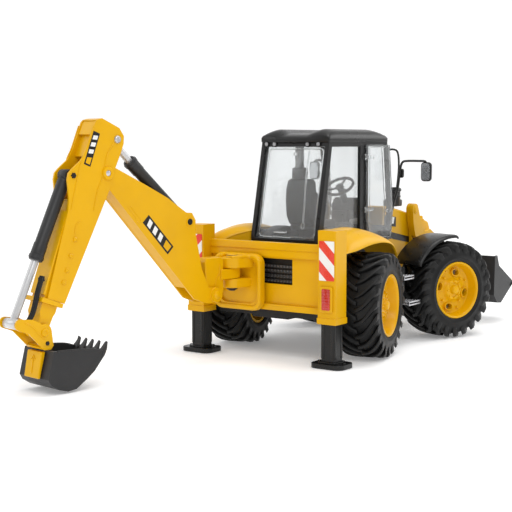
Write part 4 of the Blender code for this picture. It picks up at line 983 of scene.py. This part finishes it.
for node in ("loader_frame", "loader_arms"):
    cad_piece(node, yellow, 0.5)
cad_piece("loader_bucket", grey, 0.5)
lift = Vector(joints["loader_lift"]["pos_m"]) / MM
tilt = Vector(joints["loader_tip"]["pos_m"]) / MM
for name, joint, y, radius, body in (
    ("loader_lift_boss", lift, 35.2, 4.6, "loader_arms"),
    ("loader_tip_boss", tilt, 37.4, 3.4, "loader_bucket")
):
    caps = []
    for side in (-1, 1):
        cap = lathe(
            [
                (0, 1.5), (radius - 2, 1.5), (radius - 1.4, 1.0), (radius - 0.6, 1.0), (radius, 0.3),
                (radius, -0.4), (0, -0.4)
            ],
            28
        )
        turn = Matrix.Translation(
            (joint.x - rear_axle.x / MM, side * y, joint.z)
        ) @ Matrix.Rotation(0 if side > 0 else math.pi, 4, "Z")
        caps.append(moved(cap, turn))
    make_piece(
        name + "es", merged(*caps), body,
        yellow if "lift" in name else grey
    )
bucket_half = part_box("loader_bucket")[1].y / MM
ribs = [
    slab(
        [(246.6, 35), (245.4, 31), (253.6, 22.4), (247.2, 70), (246, 70)], y - 1.2, y + 1.2, 0.3
    ) for y in (-60, -20, 20, 60)
]
lip = slab(
    [(287, 35.4), (295.6, 40.2), (295.8, 41.4), (292, 42.4), (285, 38.6)], -bucket_half, bucket_half, 0.4
)
wear = [
    slab(
        [(264, 20.4), (288, 34.6), (287, 36.6), (263, 22.4)], y - 3, y + 3, 0.4
    ) for y in (-76, -38, 0, 38, 76)
]
make_piece("loader_bucket_edge", merged(lip, *ribs, *wear), "loader_bucket", grey)

# ---- Carriage and kingpost -------------------------------------------------------
# The carriage is a yellow plate with a thick rounded rim that slides along the panel. Its
# two tongues hold the swing pin, and the kingpost turns on it between them.

swing = joints["boom_swing"]
raising = Vector(joints["boom_lift"]["axis"])
outward = Vector((-raising.y, raising.x, 0)).normalized()
BACKHOE = Matrix.Translation((swing["pos_m"][0], swing["pos_m"][1], 0)) @ Matrix(
    ((outward.x, -outward.y, 0, 0), (outward.y, outward.x, 0, 0), (0, 0, 1, 0), (0, 0, 0, 1))
) @ Matrix.Scale(MM, 4)


def pivot(joint):
    """A joint's place in the backhoe's own plane, as outward distance and height."""
    place = BACKHOE.inverted() @ Vector(joints[joint]["pos_m"])
    return place.x, place.z


def cap_pair(place, half, profile, steps=28):
    """The same turned cap on both sides of the backhoe."""
    caps = []
    for side in (0, math.pi):
        turned = Matrix.Translation((place[0], 0, place[1])) @ Matrix.Rotation(side, 4, "Z")
        turn = turned @ Matrix.Translation((0, half, 0))
        caps.append(moved(lathe(profile, steps), turn))
    return merged(*caps)


for node, edge in (("carriage", 0.7), ("kingpost", 0.7)):
    cad_piece(node, yellow, edge)
cad_piece("swing_pin", grey, 0.3)
plate_low, plate_high = [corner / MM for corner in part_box("carriage")]
swing_x, swing_y = swing["pos_m"][0] / MM - rear_axle.x / MM, swing["pos_m"][1] / MM
face = -68.0
rim_line = [
    (face - 0.2, y, z) for y,
    z in rounded((plate_low.y + 2.4, plate_low.z + 2.4), (plate_high.y - 2.4, plate_high.z - 2.4), 7.5, 8)
]
rim_line.append(rim_line[0])
hood_line = [
    (swing_x + 10.5, swing_y - 22, 90), (swing_x + 6, swing_y - 14, 92.6),
    (swing_x - 2, swing_y - 10.5, 92.8), (swing_x - 9, swing_y - 6, 92.4)
]
pin_line = [(face - 2.6, plate_high.y - 6.4, 58), (face - 2.6, plate_high.y - 6.4, 80)]
ribs = [rail(rim_line, 2.3, 10), rail(hood_line, 1.5, 12, 24), rail(pin_line, 2.2, 18)]
ribs.append(rail([(x, 2 * swing_y - y, z) for x, y, z in hood_line], 1.5, 12, 24))
make_piece("carriage_rim", merged(*ribs), "carriage", yellow, sharp=50)
cap = moved(
    lathe([(0, 94.6), (3.2, 94.5), (4.4, 94), (5.2, 93.2), (5.6, 92.2), (0, 92.2)], 28),
    Matrix.Translation((swing_x, swing_y, 0)) @ Matrix.Rotation(math.pi / 2, 4, "X")
)
make_piece("swing_pin_cap", cap, "carriage", yellow)
post_line = [(26, -5.7, 70), (24, -5.7, 76), (21, -5.7, 80), (20.4, -5.7, 87)]
seams = [rail([(s, side * y, z) for s, y, z in post_line], 0.55, 8, 24) for side in (-1, 1)]
make_piece("kingpost_seams", merged(*seams), "swing_post", yellow, (), BACKHOE)

# ---- Boom ------------------------------------------------------------------------
# The boom is a hollow yellow moulding of two side plates with webs between them. Capped pins
# pass through it, and a plain striped badge and a small raised outline mark each side.

cad_piece("boom", yellow, 0.55)
boom_half = 7.9
boss = [(0, 3.4), (3.0, 3.4), (3.8, 2.8), (4.0, 1.6), (6.2, 1.2), (6.6, 0.6), (6.8, -0.6), (0, -0.6)]
make_piece(
    "boom_base_bosses", cap_pair(pivot("boom_lift"), boom_half + 0.2, boss), "boom",
    yellow, (), BACKHOE
)
boss = [(0, 0.9), (2.2, 0.9), (2.6, 0.5), (2.7, -0.5), (0, -0.5)]
make_piece(
    "ram_base_pins", cap_pair(pivot("dipper_barrel_swing"), boom_half + 0.3, boss), "boom",
    black, (), BACKHOE
)
boss = [(2.7, 0.3), (3.4, 0.7), (4.0, 0.5), (4.2, -0.4), (2.7, -0.4)]
make_piece(
    "ram_base_rings", cap_pair(pivot("dipper_barrel_swing"), boom_half + 0.1, boss), "boom",
    yellow, (), BACKHOE
)


def badge(name, centre, slope, length, width, half, body):
    """A dark strip with pale slanted bars and a yellow end, on both sides of the backhoe."""
    along = Vector((math.cos(slope), 0, math.sin(slope)))
    up = Vector((-along.z, 0, along.x))

    def strip(points, proud, side):
        spots = [(Vector((centre[0], 0, centre[1])) + along * a + up * b) for a, b in points]
        levels = sorted((side * (half - 0.1), side * (half + proud)))
        return slab([(p.x, p.z) for p in spots], *levels)

    a, b = length / 2, width / 2
    edge = [(-a, -b), (a, -b), (a, b), (-a, b)]
    panels, bars, ends = [], [], []
    for side in (-1, 1):
        panels.append(strip(edge, 0.12, side))
        for i in range(3):
            x = -a + length * (0.08 + 0.21 * i)
            w = length * 0.12
            bars.append(
                strip(
                    [(x, -b * 0.66), (x + w, -b * 0.66), (x + w * 1.35, b * 0.66), (x + w * 0.35, b * 0.66)],
                    0.2, side
                )
            )
        ends.append(
            strip(
                [(a * 0.48, -b * 0.66), (a * 0.9, -b * 0.66), (a * 0.9, b * 0.66), (a * 0.56, b * 0.66)],
                0.2, side
            )
        )
    make_piece(name + "_panel", merged(*panels), body, black, (), BACKHOE)
    make_piece(name + "_bars", merged(*bars), body, badge_white, (), BACKHOE)
    make_piece(name + "_end", merged(*ends), body, yellow, (), BACKHOE)


badge("boom_badge", (93.2, 117.6), math.radians(226.5), 39.0, 9.0, boom_half, "boom")
outlines = []
for side in (-1, 1):
    mark = [
        (125.5, 142.5), (117.4, 133.6), (116.4, 129.6), (112.8, 128.2), (111.6, 131.4), (114.4, 133.8),
        (122.4, 143)
    ]
    outlines.append(rail([(s, side * (boom_half - 0.05), z) for s, z in mark], 0.4, 8))
make_piece("boom_raised_marks", merged(*outlines), "boom", yellow, (), BACKHOE)

# ---- Dipper ----------------------------------------------------------------------
# The dipper is a box of two yellow side plates, open along its back, with a grooved top cap
# and a collar round its mouth. Its pins show as a bright cap, a ringed boss and a dark head.

cad_piece("dipper", yellow, 0.5)
dipper_half = 10.1
elbow, ram_head, curl_base = pivot("dipper_fold"), pivot("dipper_rod_swing"), pivot("bucket_barrel_swing")
boss = [(2.6, 1.0), (2.6, 1.6), (3.6, 2.0), (4.8, 1.8), (5.3, 1.0), (5.5, -0.4), (2.6, -0.4)]
make_piece(
    "elbow_bosses", cap_pair(elbow, dipper_half + 0.1, boss), "dipper", yellow, (),
    BACKHOE
)
boss = [(0, 1.4), (1.7, 1.4), (2.3, 1.0), (2.4, -0.4), (0, -0.4)]
make_piece(
    "elbow_pins", cap_pair(elbow, dipper_half + 0.3, boss), "dipper", silver, (), BACKHOE
)
boss = [(0, 1.0), (1.2, 1.0), (1.5, 1.4), (2.4, 1.5), (2.9, 1.1), (3.2, 0.3), (3.2, -0.4), (0, -0.4)]
make_piece(
    "ram_head_caps", cap_pair(ram_head, dipper_half + 0.1, boss), "dipper", silver, (),
    BACKHOE
)
boss = [(0, 1.0), (2.0, 1.0), (2.4, 0.6), (2.5, -0.4), (0, -0.4)]
make_piece(
    "curl_base_heads", cap_pair(curl_base, dipper_half + 0.3, boss, 6), "dipper", black,
    (), BACKHOE
)
studs = []
for s, z in ((180.5, 119.0), (184.8, 106.2), (188.7, 95.1), (192.1, 85.9)):
    studs.append(
        cap_pair((s, z), dipper_half, [(0, 1.4), (1.2, 1.3), (1.8, 0.8), (2.0, -0.3), (0, -0.3)], 24)
    )
for side in (-1, 1):
    y = side * (dipper_half + 0.02)
    ridge = [(174.7, 133.6), (177.9, 131.6), (179.7, 128.6), (180.4, 123.4)]
    studs.append(rail([(s, y, z) for s, z in ridge], 0.5, 8, 20))
    ridge = [(140.6, 195.2), (147.5, 185.4), (150.5, 174.8), (153.4, 166.0), (157.5, 157.2), (161.9, 141.4)]
    studs.append(rail([(s, y, z) for s, z in ridge], 0.55, 8, 50))
    ridge = [(160.4, 208.3), (167.7, 190.8), (172.8, 181.2), (177.9, 164.8), (181.2, 152.7), (183.7, 142.3)]
    studs.append(rail([(s, y, z) for s, z in ridge], 0.5, 8, 50))
for offset in (-3.4, 3.4):
    studs.append(rail([(136.6, offset, 206.5), (150.6, offset, 213.1), (156.2, offset, 212.1)], 0.6, 8, 20))
make_piece("dipper_studs", merged(*studs), "dipper", yellow, (), BACKHOE, 50)
badge("dipper_badge", (162.6, 190.0), math.radians(-69), 28.0, 6.6, dipper_half, "dipper")

# ---- Sliding stick ---------------------------------------------------------------
# The inner stick telescopes out of the dipper. A black curved guard on its front covers the
# hose run down to the bucket lever.

cad_piece("dipper_extension", yellow, 0.5)
hitch = pivot("bucket_curl")
guard = smooth_line(
    [(209.2, 0, 92), (211.6, 0, 86), (214.4, 0, 78), (216.6, 0, 70), (219.0, 0, 63.4), (222.4, 0, 58.6)], 30
)
guards = []
for offset in (5.2, 7.3):
    guards.append(rail([(p.x, offset, p.z) for p in guard], 1.55, 12))
strap = box((208.6, 3.4, 88), (211.6, 8.9, 91), 0.5)
make_piece(
    "hose_guard", merged(*guards, strap), "dipper_extension", matt_black, (), BACKHOE, 60
)

# ---- Lever, bucket and bracket ---------------------------------------------------
# A yellow lever pair swings the dark grey bucket. The bucket has a raised edge, five pointed
# teeth and a yellow bracket with a raised arrow that clips onto its back.

cad_piece("hitch_lever", yellow, 0.5)
curl_head = pivot("bucket_rod_swing")
boss = [(0, 0.6), (1.5, 0.6), (1.8, 1.1), (2.8, 1.1), (3.2, 0.6), (3.3, -0.3), (0, -0.3)]
make_piece("hitch_pin_heads", cap_pair(hitch, 11.7, boss), "bucket", yellow, (), BACKHOE)
boss = [(0, 0.9), (1.4, 0.9), (1.8, 0.5), (1.9, -0.3), (0, -0.3)]
make_piece(
    "bucket_pin_heads", cap_pair((209.3, 39.9), 11.7, boss, 6), "bucket", black, (),
    BACKHOE
)
ridges = []
for side in (-1, 1):
    line = [(229.4, 58.4), (222.4, 54.2), (216.6, 47.4), (211.6, 43.4)]
    ridges.append(rail([(s, side * 11.6, z) for s, z in line], 0.55, 8, 24))
make_piece("lever_ridges", merged(*ridges), "bucket", yellow, (), BACKHOE)
cad_piece("backhoe_bucket", grey, 0.4)
cad_piece("bucket_bracket", yellow, 0.5)
marks = []
for points in ([(-2.4, 27), (0, 30), (2.4, 27)], [(0, 29.6), (0, 16)]):
    marks.append(rail([(213.6 + (33.2 - z) * 0.185 + 0.2, y, z) for y, z in points], 0.55, 8))
make_piece("bracket_arrow", merged(*marks), "bucket", yellow, (), BACKHOE)
teeth = []
for i in range(5):
    y = (i - 2) * 8.75
    tooth = bmesh.new()
    root = [
        tooth.verts.new((s, y + w, z)) for s, z,
        w in ((163.8, 23.6, -2.9), (163.8, 23.6, 2.9), (161.6, 29.8, 2.9), (161.6, 29.8, -2.9))
    ]
    waist = [
        tooth.verts.new((s, y + w, z)) for s, z,
        w in ((159.6, 27.0, -2.4), (159.6, 27.0, 2.4), (160.0, 31.6, 2.4), (160.0, 31.6, -2.4))
    ]
    point = [
        tooth.verts.new((s, y + w, z)) for s, z,
        w in ((156.4, 34.6, -1.1), (156.4, 34.6, 1.1), (157.2, 36.0, 1.1), (157.2, 36.0, -1.1))
    ]
    for first, second in ((root, waist), (waist, point)):
        for k in range(4):
            tooth.faces.new((first[k - 1], first[k], second[k], second[k - 1]))
    tooth.faces.new(root)
    tooth.faces.new(point)
    teeth.append(softened(tooth, 0.3, 30, 2))
edge = [
    (162.4, 26.4), (172, 15.6), (179, 10.8), (189, 4.3), (196.6, 3.6), (204.4, 5.8), (210.2, 9.6),
    (212.2, 13.2)
]
for side in (-1, 1):
    teeth.append(
        rail(
            [
                (161.2, side * 19.6, 28.4), (171, side * 19.6, 31.4), (186, side * 19.6, 33),
                (206, side * 19.6, 34)
            ],
            0.8, 8, 30
        )
    )
make_piece("bucket_teeth", merged(*teeth), "bucket", grey, (), BACKHOE)

# ---- Cylinders -------------------------------------------------------------------
# Each cylinder is a dark grey barrel with an eye, a slot and a ring at its mouth, and a
# round bright rod that slides in it and ends in a cross eye.

bright = moulded(
    "pale silver rod", (0.62, 0.62, 0.62), (0.5, 0.5, 0.51), 0.24, 0.02,
    {"Metallic": 0.35, "Coat Weight": 0.4}
)
BARREL_RADIUS = 5.1
BARREL_BORE = 3.9
ROD_RADIUS = 3.1

for name, base, head, length, rod_length in (
    ("dipper_cylinder", pivot("dipper_barrel_swing"), ram_head, 80.0, 68.0),
    ("bucket_cylinder", curl_base, curl_head, 72.0, 88.0),
):
    direction = math.atan2(head[1] - base[1], head[0] - base[0])
    barrel_body, rod_body = name + "_barrel", name + "_rod"
    stand = Matrix.Translation((base[0], 0, base[1])) @ Matrix.Rotation(-direction, 4, "Y")
    along = stand @ Matrix.Rotation(-math.pi / 2, 4, "Z")
    profile = [(4.0, 3), (5.0, 4), (BARREL_RADIUS, 6), (BARREL_RADIUS, length - 14), (5.5, length - 13.4)]
    profile += [(5.6, length - 1), (5.2, length), (BARREL_BORE, length), (BARREL_BORE, 5), (3.4, 3)]
    eye = [(2.5, 5.2), (4.2, 5.2), (4.8, 4.6), (4.8, -4.6), (4.2, -5.2), (2.5, -5.2)]
    ring = [(5.2, length - 4.4), (6.0, length - 4.0), (6.1, length - 1.6), (5.2, length - 1.2)]
    tube = make_piece(
        name + "_tube", moved(lathe(profile, 40), along), barrel_body, grey,
        [name + "_barrel"], BACKHOE, 45
    )
    slot = moved(slab(rounded((length - 24, -1.5), (length - 13.5, 1.5), 1.4), -12, 0), stand)
    cut(tube, slot, BACKHOE)
    ends = merged(moved(lathe(eye, 32), stand), moved(lathe(ring, 40), along))
    make_piece(name + "_eye_and_ring", ends, barrel_body, grey, (), BACKHOE, 45)
    stand = Matrix.Translation((head[0], 0, head[1])) @ Matrix.Rotation(math.pi - direction, 4, "Y")
    along = stand @ Matrix.Rotation(-math.pi / 2, 4, "Z")
    profile = [(0, 2), (ROD_RADIUS, 2.2), (ROD_RADIUS, rod_length - 1), (2.6, rod_length), (0, rod_length)]
    boss = [(2.5, 8.0), (3.6, 8.0), (4.1, 7.5), (4.1, -7.5), (3.6, -8.0), (2.5, -8.0)]
    rod = merged(moved(lathe(profile, 32), along), moved(lathe(boss, 32), stand))
    make_piece(name + "_bright_rod", rod, rod_body, bright, [name + "_rod"], BACKHOE, 45)

# ---- Floor, light and camera -----------------------------------------------------
# A plain pale table under soft studio light, seen from behind on the right and a little
# above the roof line.

backdrop, ground, ground_place = new_paint("pale table")
cloud = ground.node("TexNoise", (), {"Vector": ground_place, "Scale": 6.0})
finish_paint(
    backdrop, ground, cloud.blend((0.9, 0.9, 0.9), (0.94, 0.94, 0.94)), 0.75,
    fixed={"Emission Color": (1, 1, 1, 1), "Emission Strength": 0.2},
)
table = bmesh.new()
profile = [(3.2, 2.2), (3.2, 0.8)] + [
    (2.4 + 0.8 * math.cos(a), 0.8 + 0.8 * math.sin(a)) for a in [-math.pi / 2 * i / 12 for i in range(13)]
] + [(-4.0, 0.0)]
heading = Vector((0.806, 0.591, 0))
sideways = Vector((-heading.y, heading.x, 0))
rows = [
    [
        table.verts.new(heading * d + sideways * w + Vector((0, 0, h - 0.0004))) for d, h in profile
    ] for w in (-6, 6)
]
for i in range(len(profile) - 1):
    table.faces.new((rows[0][i], rows[0][i + 1], rows[1][i + 1], rows[1][i]))
mesh = bpy.data.meshes.new("table")
table.to_mesh(mesh)
table.free()
mesh.shade_smooth()
mesh.materials.append(backdrop)
floor = bpy.data.objects.new("table", mesh)
bpy.context.scene.collection.objects.link(floor)

world = bpy.data.worlds.new("studio")
bpy.context.scene.world = world
world.use_nodes = True
world.node_tree.nodes["Background"].inputs["Color"].default_value = (1, 1, 1, 1)
world.node_tree.nodes["Background"].inputs["Strength"].default_value = 0.72
for name, spot, size, power in (
    ("key", (-1.0, -0.9, 1.5), 0.9, 9.0),
    ("fill", (-0.9, 1.3, 0.9), 1.2, 4.0),
    ("top", (0.4, -0.2, 1.9), 1.2, 12.0),
    ("front", (1.5, -0.8, 0.9), 1.0, 5.0),
):
    lamp = bpy.data.lights.new(name, "AREA")
    lamp.shape, lamp.size, lamp.energy = "DISK", size, power
    holder = bpy.data.objects.new(name, lamp)
    bpy.context.scene.collection.objects.link(holder)
    holder.location = spot
    holder.rotation_euler = (Vector((0, 0, 0.08)) - Vector(spot)).to_track_quat("-Z", "Y").to_euler()

lens = bpy.data.cameras.new("camera")
lens.lens, lens.sensor_width = 82.05, 36.0
lens.clip_start, lens.clip_end = 0.01, 50
camera = bpy.data.objects.new("camera", lens)
bpy.context.scene.collection.objects.link(camera)
camera.location = (rear_axle.x - 0.91180, -0.60945, 0.19382)
yaw, pitch, roll = math.radians(36.11), math.radians(-5.5), math.radians(-0.1)
camera.rotation_euler = (
    Matrix.Rotation(yaw - math.pi / 2, 4, "Z") @ Matrix.Rotation(
        math.pi / 2 + pitch, 4, "X"
    ) @ Matrix.Rotation(roll, 4, "Z")
).to_euler()
bpy.context.scene.camera = camera
bpy.context.scene.view_settings.view_transform = "Standard"
